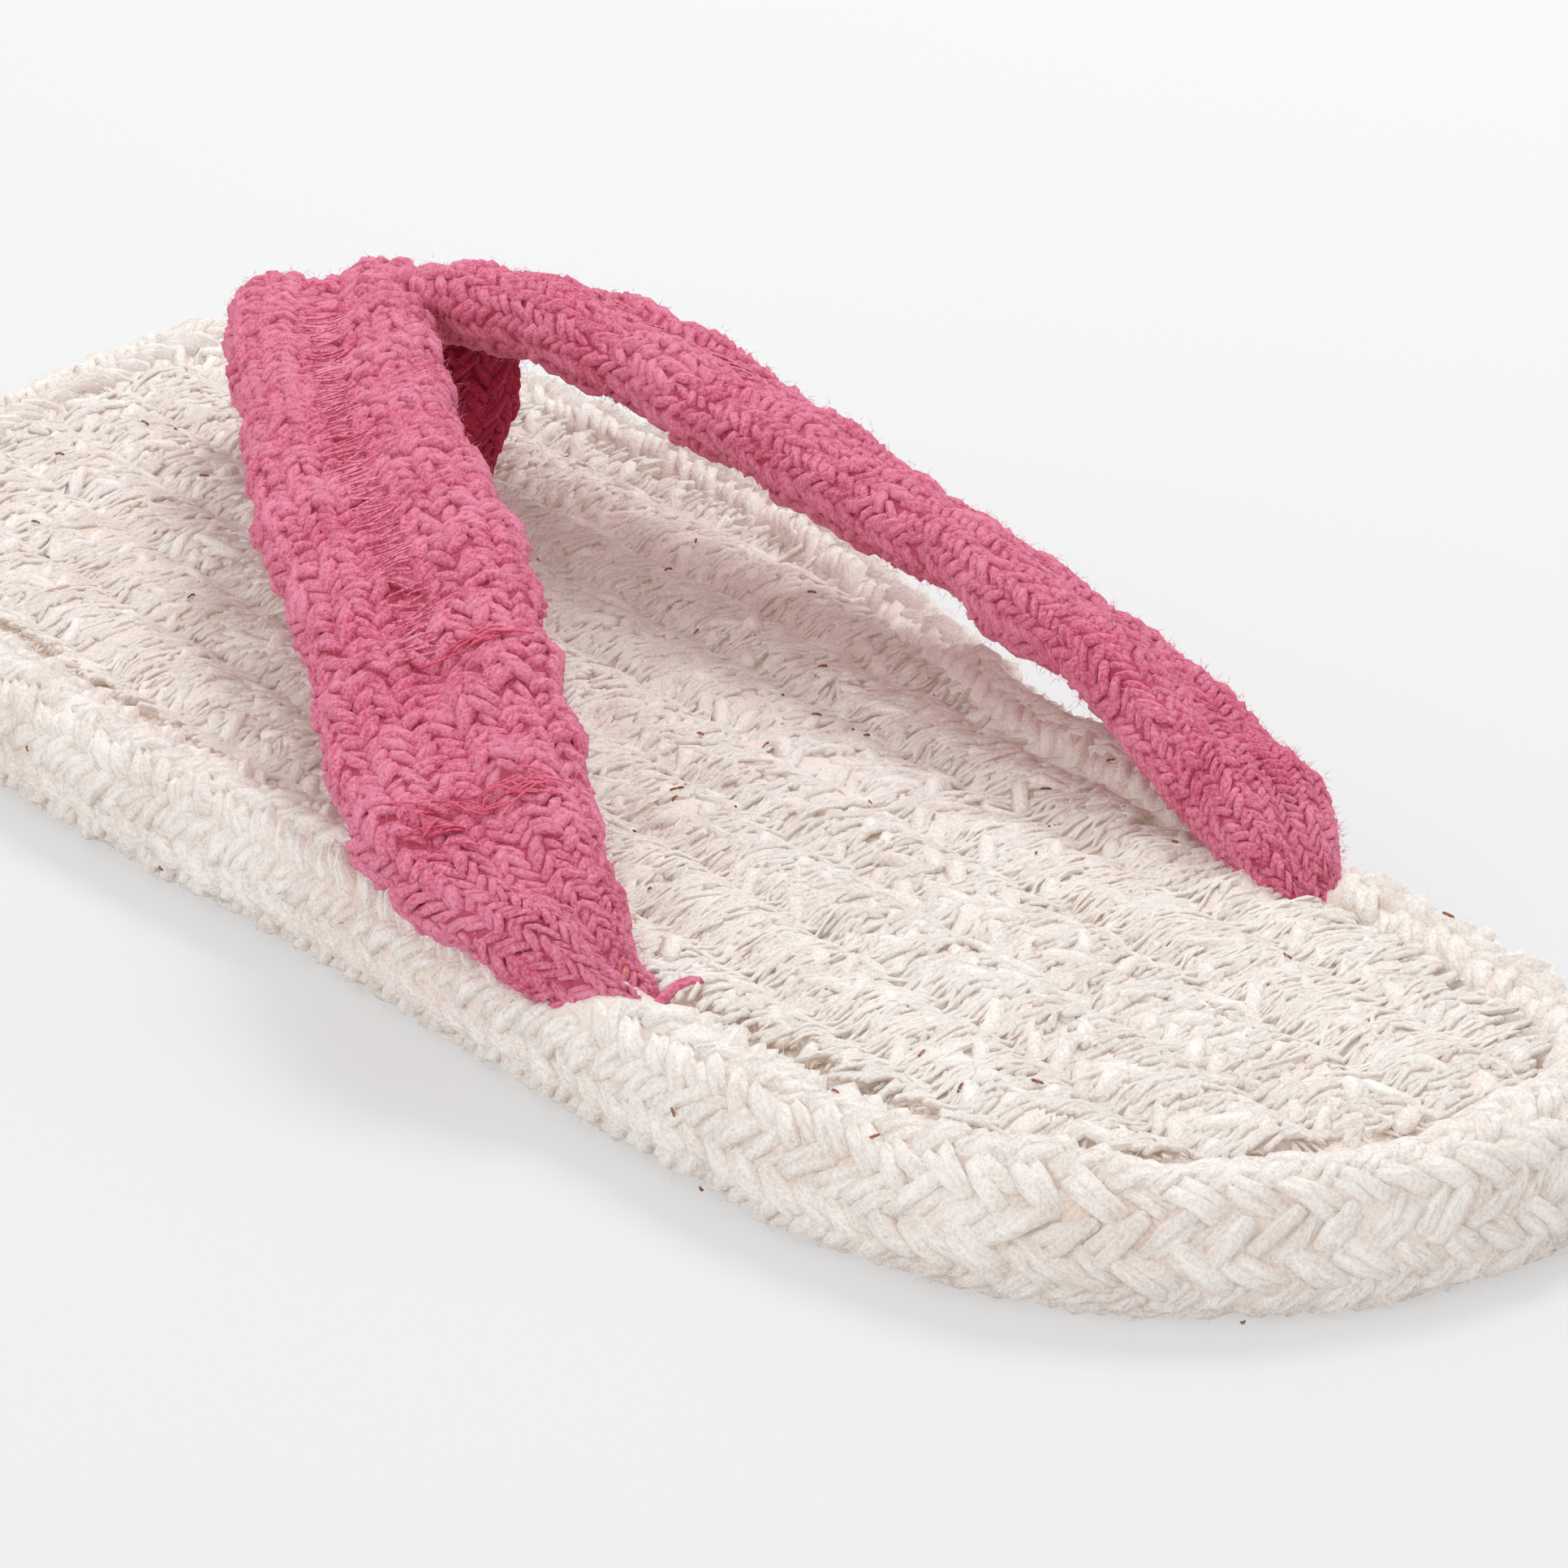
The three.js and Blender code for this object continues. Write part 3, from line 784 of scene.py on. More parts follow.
class StrapForm:
    """The middle line of one strap, with its width, thickness and tilt along the way."""

    def __init__(self, table, outer):
        middles = [
            (TO_FRAME + across * BALL_WIDTH, along * SOLE_LENGTH, ROW_HEIGHT + rise * STRAP_RISE)
            for _, across, along, rise, _, _, _ in table
        ]
        self.line = smooth_line(middles, closed=False)
        self.places = lengths_along(self.line)
        self.length = self.places[-1]
        way = directions(self.line, closed=False)
        level = np.stack([way[:, 1], -way[:, 0], np.zeros(len(way))], axis=1)
        level /= np.linalg.norm(level, axis=1)[:, None]
        level *= np.where(level[:, :1] * outer < 0, -1, 1)
        upward = np.cross(level, way)
        upward *= np.where(upward[:, 2:] < 0, -1, 1)
        rows_at = np.arange(len(self.line)) / SPAN_STEPS
        sizes = np.array([row[4:] for row in table], float)
        sizes = read_off(rows_at, np.arange(len(table)), sizes)
        roll = np.radians(sizes[:, 2:])
        self.across = level * np.cos(roll) - upward * np.sin(roll)
        self.face = upward * np.cos(roll) + level * np.sin(roll)
        self.sizes = sizes[:, :2]
        self.lumps = SoftLumps(STRAP_LUMP_SIZE)
        steps = np.diff(self.places) / np.maximum(self.sizes[:-1].min(axis=1), SMALLEST_STRAND)
        self.flat_places = np.concatenate([[0.0], np.cumsum(steps)])
        self.flat_length = self.flat_places[-1]

    def unevenly(self, points):
        """Draws strands closer together along the strap where it is narrow."""
        drawn = points.copy()
        drawn[:, 0] = np.interp(points[:, 0], self.flat_places, self.places)
        return drawn

    def wrap(self, points, sink):
        along = np.clip(points[:, 0], 0, self.length)
        around = np.mod(points[:, 1], strap_girth)
        middle = read_off(along, self.places, self.line)
        across = read_off(along, self.places, self.across)
        face = read_off(along, self.places, self.face)
        sizes = read_off(along, self.places, self.sizes)
        section = read_off(around, strap_round, strap_section) * sizes
        way = read_off(around, strap_round, strap_way) * sizes
        outward = np.stack([way[:, 1], -way[:, 0]], axis=1)
        outward /= np.linalg.norm(outward, axis=1)[:, None]
        room = np.clip(sizes.min(axis=1), SMALLEST_STRAND, 1)
        bare = middle + across * section[:, :1] + face * section[:, 1:]
        height = (points[:, 2] - sink) * room + STRAP_LUMPS * self.lumps.at(bare) * sizes[:, 1]
        return bare + (across * outward[:, :1] + face * outward[:, 1:]) * height[:, None]


lateral = StrapForm(LATERAL_STRAP, outer=-1)
medial = StrapForm(MEDIAL_STRAP, outer=1)
print("strap lengths in mm:", round(lateral.length / MM), round(medial.length / MM))

# %% [markdown]
# Braiding the straps
#
# The straps' braid is fine, of single yarns, and more uneven than the sole's, because a hand
# has pulled and sewn it. The core under it closes the pits, as in the rim.

# %% Braid the straps
STRAP_YARNS = 1
STRAP_COLUMNS = 26
STRAP_PITCH = 1.5 * MM
STRAP_LEAN = math.radians(42)
STRAP_YARN_WIDTH = 1.15 * MM
STRAP_STRAND_HEIGHT = 1.2 * MM
STRAP_DIP = 0.25 * MM
STRAP_UNREST = 1.3
STRAP_SINK = 0.6 * MM
STRAP_CORE_SINK = 0.68 * MM
STRAP_CORE_STEPS_ROUND = 36
# The strap cores take a low raised number, so they are painted dark with pit shade between the strands.
STRAP_CORE_RAISED = 0.34
HALF_STRAND = 0.5


def braid_strap(name, form, node_names):
    count = round(form.flat_length / STRAP_PITCH)
    braid = flat_braid(
        name, yarns=STRAP_YARNS, yarn_width=STRAP_YARN_WIDTH, height=STRAP_STRAND_HEIGHT,
        columns=STRAP_COLUMNS, column_width=strap_girth / STRAP_COLUMNS,
        count=count, pitch=form.flat_length / (count + HALF_STRAND),
        lean=STRAP_LEAN, dip=STRAP_DIP, unrest=STRAP_UNREST)
    core_steps = round(form.length / CORE_STEP)
    core = add_sheet(name + "_core", form.length, strap_girth, core_steps, STRAP_CORE_STEPS_ROUND)
    set_points(braid, form.wrap(form.unevenly(point_array(braid)), STRAP_SINK))
    set_points(core, form.wrap(point_array(core), STRAP_CORE_SINK))
    close_up(core, STRAP_CORE_RAISED)
    finish_piece(braid, node_names)
    finish_piece(core, [])
    return braid, core


lateral_braid, lateral_core = braid_strap("lateral_strap", lateral, ["upper_straps"])
medial_braid, medial_core = braid_strap("medial_strap", medial, [])

# %% [markdown]
# The toe post
#
# The post is a short round braid that stands between the toes. It leans a little and is
# fattest half way up. The strap's braid is rolled round it, as a cylinder with a changing
# girth needs no line of its own.

# %% Roll the post
POST_ACROSS = (0.2, 0.035)
POST_ALONG = (0.262, -0.008)
POST_SHAPE = [
    # place, rise as a share of the straps' rise, size
    ("foot", -POST_DEPTH / STRAP_RISE, 0.72),
    ("where it leaves the sole", 0, 0.8),
    ("belly", 0.4, 1.03),
    ("neck", 0.75, 0.82),
    ("head", 0.95, 0.72),
]
POST_COLUMNS = 16
POST_SINK = 0.5 * MM
POST_CORE_STEPS_LONG = 10
POST_CORE_STEPS_ROUND = 20

post_rises = np.array([rise for _, rise, _ in POST_SHAPE])
post_sizes = np.array([size for _, _, size in POST_SHAPE])
post_length = (post_rises[-1] - post_rises[0]) * STRAP_RISE
post_girth = math.pi * (POST_WIDTH + POST_THICKNESS) / 2


def on_post(points, sink):
    rise = post_rises[0] + np.clip(points[:, 0] / post_length, 0, 1) * (post_rises[-1] - post_rises[0])
    size = np.interp(rise, post_rises, post_sizes)
    angle = -2 * np.pi * points[:, 1] / post_girth
    height = points[:, 2] - sink
    y = (POST_ALONG[0] + rise * POST_ALONG[1]) * SOLE_LENGTH
    z = ROW_HEIGHT + spring_at(y) + rise * STRAP_RISE
    x = TO_FRAME + (POST_ACROSS[0] + rise * POST_ACROSS[1]) * BALL_WIDTH
    x = x + np.cos(angle) * (size * POST_WIDTH / 2 + height)
    y = y + np.sin(angle) * (size * POST_THICKNESS / 2 + height)
    return np.stack([x, y, z], axis=1)


post_count = round(post_length / STRAP_PITCH)
post = flat_braid(
    "toe_post_braid", yarns=STRAP_YARNS, yarn_width=STRAP_YARN_WIDTH, height=STRAP_STRAND_HEIGHT,
    columns=POST_COLUMNS, column_width=post_girth / POST_COLUMNS,
    count=post_count, pitch=post_length / (post_count + HALF_STRAND),
    lean=STRAP_LEAN, dip=STRAP_DIP, unrest=1)
set_points(post, on_post(point_array(post), POST_SINK))
finish_piece(post, ["toe_post"])
post_core = add_sheet(
    "toe_post_core", post_length, post_girth, POST_CORE_STEPS_LONG, POST_CORE_STEPS_ROUND)
set_points(post_core, on_post(point_array(post_core), POST_SINK))
close_up(post_core, STRAP_CORE_RAISED)
finish_piece(post_core, [])

# %% [markdown]
# The sewing thread
#
# Much of the sandal is held by thin shiny thread. A thread is a yarn again, much thinner and
# longer, bowed, with both ends dipping into the cotton. It could be a curve object with a
# bevel, but hundreds of them are slow to lay, so one thread is modelled and copied, and each
# copy is then given its own place, heading, length and bends.

# %% Lay many threads
THREAD_RINGS = 7
THREAD_SIDES = 4
BOW_TURN = 0.8
ARCH_LEVEL = 0.45
END_PIT_SHADE = 0.8


def lay_threads(name, places, headings, lengths, width, bow, arch, rings=THREAD_RINGS):
    """Copies of one thread, each with a place, a heading from the x axis, a length and bends."""
    thread = add_yarn(1, 1, 1, rings=rings, sides=THREAD_SIDES)
    thread_points = len(thread.data.vertices)
    array_along(thread, len(places), 0)
    thread.name = name
    thread.data.name = name
    points = point_array(thread).reshape(-1, thread_points, 3)
    share = 2 * points[:, :, 0]
    along = points[:, :, 0] * lengths[:, None]
    across = points[:, :, 1] * width + bow[:, None] * np.sin(np.pi * share * BOW_TURN)
    up = points[:, :, 2] * width + arch[:, None] * (ARCH_LEVEL - share ** 2)
    cos, sin = np.cos(headings)[:, None], np.sin(headings)[:, None]
    moved = np.empty_like(points)
    moved[:, :, 0] = places[:, :1] + along * cos - across * sin
    moved[:, :, 1] = places[:, 1:2] + along * sin + across * cos
    moved[:, :, 2] = places[:, 2:] + up
    set_points(thread, moved.reshape(-1, 3))
    # The ends get a low raised number, so the cotton paints them with pit shade where they dip in.
    set_number(thread, "raised", (1 - END_PIT_SHADE * share ** 4).ravel())
    set_number(thread, "tone", np.repeat(chance.random(len(places)), thread_points))
    return thread


print("faces round a thread:", THREAD_SIDES)

# %% [markdown]
# The zigzag of the straps
#
# A zigzag of thread holds the two cords of a strap together along the valley. Each stitch leans
# the other way than the one before, and none is quite in line, as in sewing by hand.

# %% Stitch along the straps' valleys
STITCH_WIDTH = 0.24 * MM
STITCH_PITCH = 1.9 * MM
STITCH_HEADING = math.radians(90)
STITCH_LEAN = math.radians(14)
STITCH_LEAN_SPREAD = 0.12
STITCH_SPREAD_ALONG = 0.2 * MM
STITCH_SPREAD_ROUND = 0.4 * MM
STITCH_HEIGHT = 0.05
STITCH_HEIGHT_SPREAD = 0.05
STITCH_LENGTHS = (2.8, 4.4)
STITCH_BOW = 0.2
STITCH_ARCHES = (0.2, 0.45)
VALLEY = 3 * SPAN_STEPS


def stitch_strap(name, form, start, end):
    along = np.arange(start, end, STITCH_PITCH / 2)
    count = len(along)
    side = np.where(np.arange(count) % 2 == 0, 1, -1)
    places = np.stack([
        along + chance.normal(0, STITCH_SPREAD_ALONG, count),
        strap_round[VALLEY] + chance.normal(0, STITCH_SPREAD_ROUND, count),
        chance.normal(STITCH_HEIGHT, STITCH_HEIGHT_SPREAD, count) * MM,
    ], axis=1)
    headings = STITCH_HEADING + side * STITCH_LEAN + chance.normal(0, STITCH_LEAN_SPREAD, count)
    lengths = chance.uniform(*STITCH_LENGTHS, count) * MM
    bow = chance.normal(0, STITCH_BOW, count) * MM
    arch = chance.uniform(*STITCH_ARCHES, count) * MM
    threads = lay_threads(name, places, headings, lengths, STITCH_WIDTH, bow, arch)
    set_points(threads, form.wrap(point_array(threads), 0))
    finish_piece(threads, [])
    return threads


strap_threads = [
    stitch_strap("lateral_strap_thread", lateral, start=30 * MM, end=0.72 * lateral.length),
    stitch_strap("medial_strap_thread", medial, start=12 * MM, end=0.8 * medial.length),
]

# %% [markdown]
# The seam between rim and rows
#
# A cord lies in the seam between the rim and the rows. It could be left out, but then one
# would look down to the floor between them. It is a sheet once more, rolled up along the seam.

# %% Lay the seam's cord
SEAM_CORD_WIDTH = 5.5 * MM
SEAM_CORD_HEIGHT = 2.4 * MM
SEAM_CORD_STEPS_ROUND = 10
SEAM_DEPTH = 1.2 * MM


def add_seam_cord():
    seam_places = lengths_along(inside_line)
    seam_length = seam_places[-1]
    cord_steps = round(seam_length / CORE_STEP)
    cord = add_sheet("seam_cord", seam_length, 1, cord_steps, SEAM_CORD_STEPS_ROUND)
    points = point_array(cord)
    along = np.mod(points[:, 0], seam_length)
    middle = read_off(along, seam_places, inside_line)
    outward = read_off(along, seam_places, edge_out)
    angle = 2 * np.pi * points[:, 1]
    placed = np.empty_like(points)
    placed[:, :2] = middle + outward * (np.cos(angle) * SEAM_CORD_WIDTH / 2)[:, None]
    placed[:, 2] = ROW_HEIGHT - SEAM_DEPTH + (np.sin(angle) - 1) * SEAM_CORD_HEIGHT / 2
    placed[:, 2] += spring_at(placed[:, 1])
    set_points(cord, placed)
    close_up(cord, ROW_BED_RAISED)
    finish_piece(cord, [])
    return cord


seam_cord = add_seam_cord()

# %% [markdown]
# Long stitches between the inner rows
#
# Long loose stitches lie across the inner rows and hold them to each other, and short ones
# cross the seam. Laying many of them by chance inside a few named areas looks more like the
# real, untidy work than a regular row would.

# %% Stitch the rows
STITCH_ZONES = [
    # place, x from, x to, y from, y to, number, length, heading in degrees
    ("behind the lateral strap", -33, -14, -94, -36, 360, 7.5, 8),
    ("behind the medial strap", 4, 23, -106, -44, 360, 7.5, 8),
    ("beside the medial strap", 13, 30, -44, 20, 130, 6.5, 8),
    ("under the lateral strap", -38, -24, -36, 70, 130, 6, 6),
    ("middle", -14, 4, -110, 60, 90, 4.5, 8),
    ("toes", -30, 30, 60, 112, 70, 4.5, 8),
]
THREAD_WIDTH = 0.44 * MM
THREAD_BOW = 0.35
THREAD_ARCHES = (0.1, 0.3)
THREAD_HEIGHTS = (-0.2, 0)
LENGTH_SPREAD = 1.4
HEADING_SPREAD = 8
ZONE_MARGIN = 2 * MM
SEAM_THREADS = 420
SEAM_THREAD_TURN = 0.5
SEAM_THREAD_TURN_SPREAD = 0.4
SEAM_THREAD_LENGTH = 3.4
SEAM_THREAD_LENGTH_SPREAD = 0.7
SEAM_THREAD_SINK = 0.7 * SEAM_DEPTH


def stitch_rows():
    laid = []
    for _, x0, x1, y0, y1, number, length, heading in STITCH_ZONES:
        x = TO_FRAME + chance.uniform(x0, x1, number) * MM
        y = chance.uniform(y0, y1, number) * MM
        lengths = chance.normal(length, LENGTH_SPREAD, number) * MM
        headings = np.radians(chance.normal(heading, HEADING_SPREAD, number))
        laid.append(np.stack([x, y, lengths, headings], axis=1))
    laid = np.vstack(laid)
    laid = laid[is_inside(laid[:, 0], laid[:, 1], ZONE_MARGIN)]
    seam_at = (chance.random(SEAM_THREADS) * (len(inside_line) - 1)).astype(int)
    seam = inside_line[seam_at]
    seam_out = edge_out[seam_at]
    turn = chance.normal(SEAM_THREAD_TURN, SEAM_THREAD_TURN_SPREAD, SEAM_THREADS)
    headings = np.arctan2(seam_out[:, 1], seam_out[:, 0]) + turn
    lengths = chance.normal(SEAM_THREAD_LENGTH, SEAM_THREAD_LENGTH_SPREAD, SEAM_THREADS) * MM
    laid = np.vstack([laid, np.column_stack([seam, lengths, headings])])
    count = len(laid)
    heights = chance.uniform(*THREAD_HEIGHTS, count) * MM
    heights[-SEAM_THREADS:] -= SEAM_THREAD_SINK
    places = np.stack([laid[:, 0], laid[:, 1], heights], axis=1)
    threads = lay_threads(
        "long_stitches", places, laid[:, 3], laid[:, 2], THREAD_WIDTH,
        chance.normal(0, THREAD_BOW, count) * MM, chance.uniform(*THREAD_ARCHES, count) * MM)
    points = point_array(threads)
    points[:, 2] += row_top(points[:, 0], points[:, 1])
    set_points(threads, points)
    finish_piece(threads, [])
    return threads


long_stitches = stitch_rows()

# %% [markdown]
# Brushed wisps on the inner rows
#
# A foot has rubbed the inner rows, so the ends of their yarns lie about as flat wisps, nearly
# all across the rows. They hide much of the braid. A wisp is wider than a thread and short, and
# it lies so low that it grows out of the yarns. Wisps are dropped over the whole sole, and the
# ones beyond the seam are left out.

# %% Brush the rows
WISP_DROPS = 10300
WISP_OVERHANG = 1.8 * MM
WISP_WIDTH = 0.62 * MM
WISP_HEADING = 8
WISP_HEADING_SPREAD = 12
WISP_LENGTHS = (2, 4.8)
WISP_BOW = 0.25
WISP_ARCHES = (0.05, 0.2)
WISP_HEIGHTS = (-0.35, -0.15)


def brush_rows():
    x = chance.uniform(limits[:, 0].min(), limits[:, 1].max(), WISP_DROPS)
    y = chance.uniform(inside_low, inside_high, WISP_DROPS)
    kept = is_inside(x, y, -WISP_OVERHANG)
    count = kept.sum()
    places = np.stack([x[kept], y[kept], chance.uniform(*WISP_HEIGHTS, count) * MM], axis=1)
    wisps = lay_threads(
        "brushed_wisps", places,
        np.radians(chance.normal(WISP_HEADING, WISP_HEADING_SPREAD, count)),
        chance.uniform(*WISP_LENGTHS, count) * MM, WISP_WIDTH,
        chance.normal(0, WISP_BOW, count) * MM, chance.uniform(*WISP_ARCHES, count) * MM,
        YARN_RINGS)
    points = point_array(wisps)
    points[:, 2] += row_top(points[:, 0], points[:, 1])
    set_points(wisps, points)
    finish_piece(wisps, [])
    return wisps


wisps = brush_rows()

# %% [markdown]
# Where the straps are joined
#
# The lateral strap was sewn together from shorter lengths, and the sewer went over the joins
# several times, so small tangles of red thread lie across them.

# %% Sew the joins
JOINS = [
    # place, along the strap, round the strap, number, spread along, spread across
    ("upper join", 124, 17.5, 16, 0.7, 1.8),
    ("lower join", 146, 15.5, 26, 1.0, 2.4),
    ("lower join, outer edge", 147.5, 7.5, 12, 1.2, 0.8),
]
JOIN_THREAD_WIDTH = 0.26 * MM
JOIN_HEADING = 82
JOIN_HEADING_SPREAD = 16
JOIN_LENGTHS = (2.6, 5)
JOIN_BOW = 0.3
JOIN_ARCHES = (0.2, 0.5)
JOIN_HEIGHTS = (0, 0.3)


def sew_over(name, form, knots):
    sizes = np.array([knot[1:] for knot in knots], float)
    along, around, number, spread_along, spread_across = sizes.T
    number = number.astype(int)
    count = number.sum()
    places = np.stack([
        np.repeat(along, number) + chance.normal(0, 1, count) * np.repeat(spread_along, number),
        np.repeat(around, number) + chance.normal(0, 1, count) * np.repeat(spread_across, number),
        chance.uniform(*JOIN_HEIGHTS, count),
    ], axis=1) * MM
    threads = lay_threads(
        name, places, np.radians(chance.normal(JOIN_HEADING, JOIN_HEADING_SPREAD, count)),
        chance.uniform(*JOIN_LENGTHS, count) * MM, JOIN_THREAD_WIDTH,
        chance.normal(0, JOIN_BOW, count) * MM, chance.uniform(*JOIN_ARCHES, count) * MM)
    set_points(threads, form.wrap(point_array(threads), 0))
    finish_piece(threads, [])
    return threads


join_threads = sew_over("lateral_strap_joins", lateral, JOINS)

# %% [markdown]
# The strap's tail
#
# The lateral strap's end is tucked into the seam, and a short tail of it sticks out sideways.
# One stray amber fibre lies on the strap's tip. Each is a single thread, laid like the rest.

# %% The strap's tail and one stray fibre
TAIL_PLACE = (-31.6, -68, -0.1)
TAIL_HEADING = -14
TAIL_SIZE = (5.6, 1.2)
STRAY_PLACE = (166, 12.5, 0.9)
STRAY_HEADING = 70
STRAY_SIZE = (1.7, 0.3)
SINGLE_BEND = 0.3


def lay_one(name, place, heading, size):
    length, width = size
    bend = np.array([SINGLE_BEND]) * MM
    return lay_threads(
        name, np.array([place]) * MM, np.array([math.radians(heading)]), np.array([length]) * MM,
        width * MM, bend, bend)


tail = lay_one("lateral_strap_tail", TAIL_PLACE, TAIL_HEADING, TAIL_SIZE)
tail_points = point_array(tail)
tail_points[:, 2] += row_top(tail_points[:, 0], tail_points[:, 1])
set_points(tail, tail_points)
finish_piece(tail, [])
stray = lay_one("stray_fibre", STRAY_PLACE, STRAY_HEADING, STRAY_SIZE)
set_points(stray, lateral.wrap(point_array(stray), 0))
finish_piece(stray, [])

# %% [markdown]
# Rim under the straps' ends
#
# The straps press the rim down where they end on it. The rim's yarns there would only stick
# through the straps, so each yarn whose middle is inside or right under a strap is left out.

# %% Clear the rim under the straps
COVER_REACH = 1.1 * MM


def is_covered(middles, covers):
    cover_points = np.concatenate([point_array(cover) for cover in covers])
    tree = KDTree(len(cover_points))
    for number, point in enumerate(cover_points):
        tree.insert(point, number)
    tree.balance()
    return np.array([tree.find(middle)[2] < COVER_REACH for middle in middles])


rim_middles = point_array(rim).reshape(-1, YARN_POINTS, 3).mean(axis=1)
covered = is_covered(rim_middles, [lateral_braid, medial_braid])
keep_yarns(rim, ~covered)
print("rim yarns under the straps, left out:", covered.sum())

# %% [markdown]
# Seed flecks
#
# Cotton that isn't bleached keeps a few crumbs of seed and leaf. They could be spots in the
# material, but a crumb is a small thing that lies on the surface, so each is a tiny yarn.

# %% Scatter the flecks
ROW_FLECKS = 50
RIM_FLECKS = 26
FLECK_WIDTH = 0.22 * MM
FLECK_LENGTHS = (0.3, 1.1)
FLECK_BOW = 0.1
FLECK_ARCHES = (0, 0.2)
FLECK_HEIGHTS = (0.1, 0.4)
FLECKED_WIDTH = 0.8
FLECKED_LENGTH = 0.85
FLECKED_RIM = (0.1, 0.65)


def scatter_flecks():
    count = ROW_FLECKS + RIM_FLECKS
    places = np.zeros((count, 3))
    places[:, 2] = chance.uniform(*FLECK_HEIGHTS, count) * MM
    flecks = lay_threads(
        "seed_flecks", places, chance.uniform(0, np.pi, count),
        chance.uniform(*FLECK_LENGTHS, count) * MM, FLECK_WIDTH,
        chance.normal(0, FLECK_BOW, count) * MM, chance.uniform(*FLECK_ARCHES, count) * MM,
        YARN_RINGS)
    points = point_array(flecks).reshape(count, -1, 3)
    on_rows = points[:ROW_FLECKS]
    low, high = FLECKED_WIDTH * limits[:, 0].min(), FLECKED_WIDTH * limits[:, 1].max()
    on_rows[:, :, 0] += chance.uniform(low, high, (ROW_FLECKS, 1))
    low, high = FLECKED_LENGTH * inside_low, FLECKED_LENGTH * inside_high
    on_rows[:, :, 1] += chance.uniform(low, high, (ROW_FLECKS, 1))
    on_rows[:, :, 2] += row_top(on_rows[:, :, 0], on_rows[:, :, 1])
    on_edge = points[ROW_FLECKS:]
    on_edge[:, :, 0] += chance.uniform(0, rim_length, (RIM_FLECKS, 1))
    on_edge[:, :, 1] += chance.uniform(*FLECKED_RIM, (RIM_FLECKS, 1)) * section_length
    points[ROW_FLECKS:] = on_rim(on_edge.reshape(-1, 3), 0).reshape(RIM_FLECKS, -1, 3)
    set_points(flecks, points.reshape(-1, 3))
    finish_piece(flecks, [])
    return flecks


flecks = scatter_flecks()

# %% [markdown]
# Loose fibres
#
# Cotton that isn't combed is hairy. The hairs catch the light along every edge and take the
# hardness out of the outline. One hair is a thin straight spike, because at this size a bend
# can't be seen, and each copy stands on a yarn, pointing anywhere but inwards. The hair
# particles of Blender would do it too, but particles are not part of the mesh, so they'd be
# lost when the piece is used elsewhere.

# %% Grow fibres on the braids
FIBRE_SIDES = 3
FIBRE_THICKNESS = 0.06 * MM
FIBRE_OUTWARDNESS = 1.8
FIBRE_LENGTHS = (0.3, 1.2)
FIBRE_SPREAD = 0.25 * MM
FIBRE_ROOT = 0.1 * MM
HIGH_ENOUGH = 0.5


def add_fibre():
    bpy.ops.mesh.primitive_cone_add(vertices=FIBRE_SIDES, radius1=0.5, radius2=0, depth=1)
    fibre = bpy.context.object
    bpy.ops.object.mode_set(mode="EDIT")
    bpy.ops.mesh.select_all(action="SELECT")
    bpy.ops.transform.translate(value=(0, 0, 0.5))
    bpy.ops.object.mode_set(mode="OBJECT")
    return fibre


def grow_fibres(name, carrier, count, length, slot):
    carried = point_array(carrier)
    normals = np.empty(3 * len(carried), np.float32)
    carrier.data.vertices.foreach_get("normal", normals)
    normals = normals.reshape(-1, 3)
    raised = np.empty(len(carried), np.float32)
    carrier.data.attributes["raised"].data.foreach_get("value", raised)
    chosen = chance.choice(np.flatnonzero(raised > HIGH_ENOUGH), count)
    fibre = add_fibre()
    array_along(fibre, count, 0)
    fibre.name = name
    fibre.data.name = name
    points = point_array(fibre).reshape(count, -1, 3)
    aim = chance.normal(0, 1, (count, 3))
    aim += chance.uniform(0, FIBRE_OUTWARDNESS, (count, 1)) * normals[chosen]
    aim /= np.linalg.norm(aim, axis=1)[:, None]
    side = np.cross(aim, chance.normal(0, 1, (count, 3)))
    side /= np.linalg.norm(side, axis=1)[:, None]
    third = np.cross(aim, side)
    start = carried[chosen] + chance.normal(0, FIBRE_SPREAD, (count, 3)) - FIBRE_ROOT * normals[chosen]
    lengths = length * chance.uniform(*FIBRE_LENGTHS, count)[:, None, None]
    grown = (
        start[:, None, :]
        + points[:, :, 2:] * lengths * aim[:, None, :]
        + points[:, :, :1] * FIBRE_THICKNESS * side[:, None, :]
        + points[:, :, 1:2] * FIBRE_THICKNESS * third[:, None, :]
    )
    grown[:, :, 2] = np.maximum(grown[:, :, 2], 0)
    set_points(fibre, grown.reshape(-1, 3))
    set_number(fibre, "raised", np.ones(grown.shape[0] * grown.shape[1]))
    set_number(fibre, "tone", np.repeat(chance.random(count), grown.shape[1]))
    finish_piece(fibre, [])
    return fibre


HAIRY_BRAIDS = [
    # name of the fibres, braid, number, length, slot
    ("rim_fibres", rim, 16000, 1.2 * MM, "cream_braid"),
    ("row_fibres", rows, 6000, 1.3 * MM, "cream_braid"),
    ("lateral_strap_fibres", lateral_braid, 18000, 1 * MM, "pink_braid"),
    ("medial_strap_fibres", medial_braid, 15000, 1 * MM, "pink_braid"),
    ("toe_post_fibres", post, 1500, 1 * MM, "pink_braid"),
]
fibres = [grow_fibres(*hairy) for hairy in HAIRY_BRAIDS]

# %% [markdown]
# Wiring a material
#
# A material is a tree of nodes, and each node is usually added and wired by hand in the shader
# editor. The finishes here share one tree, so a few short ways to add a node, do a sum and mix
# two colours keep it readable in a script. A colour is easiest to name as it shows on a screen,
# but the shader needs amounts of light, so it is turned into those first.

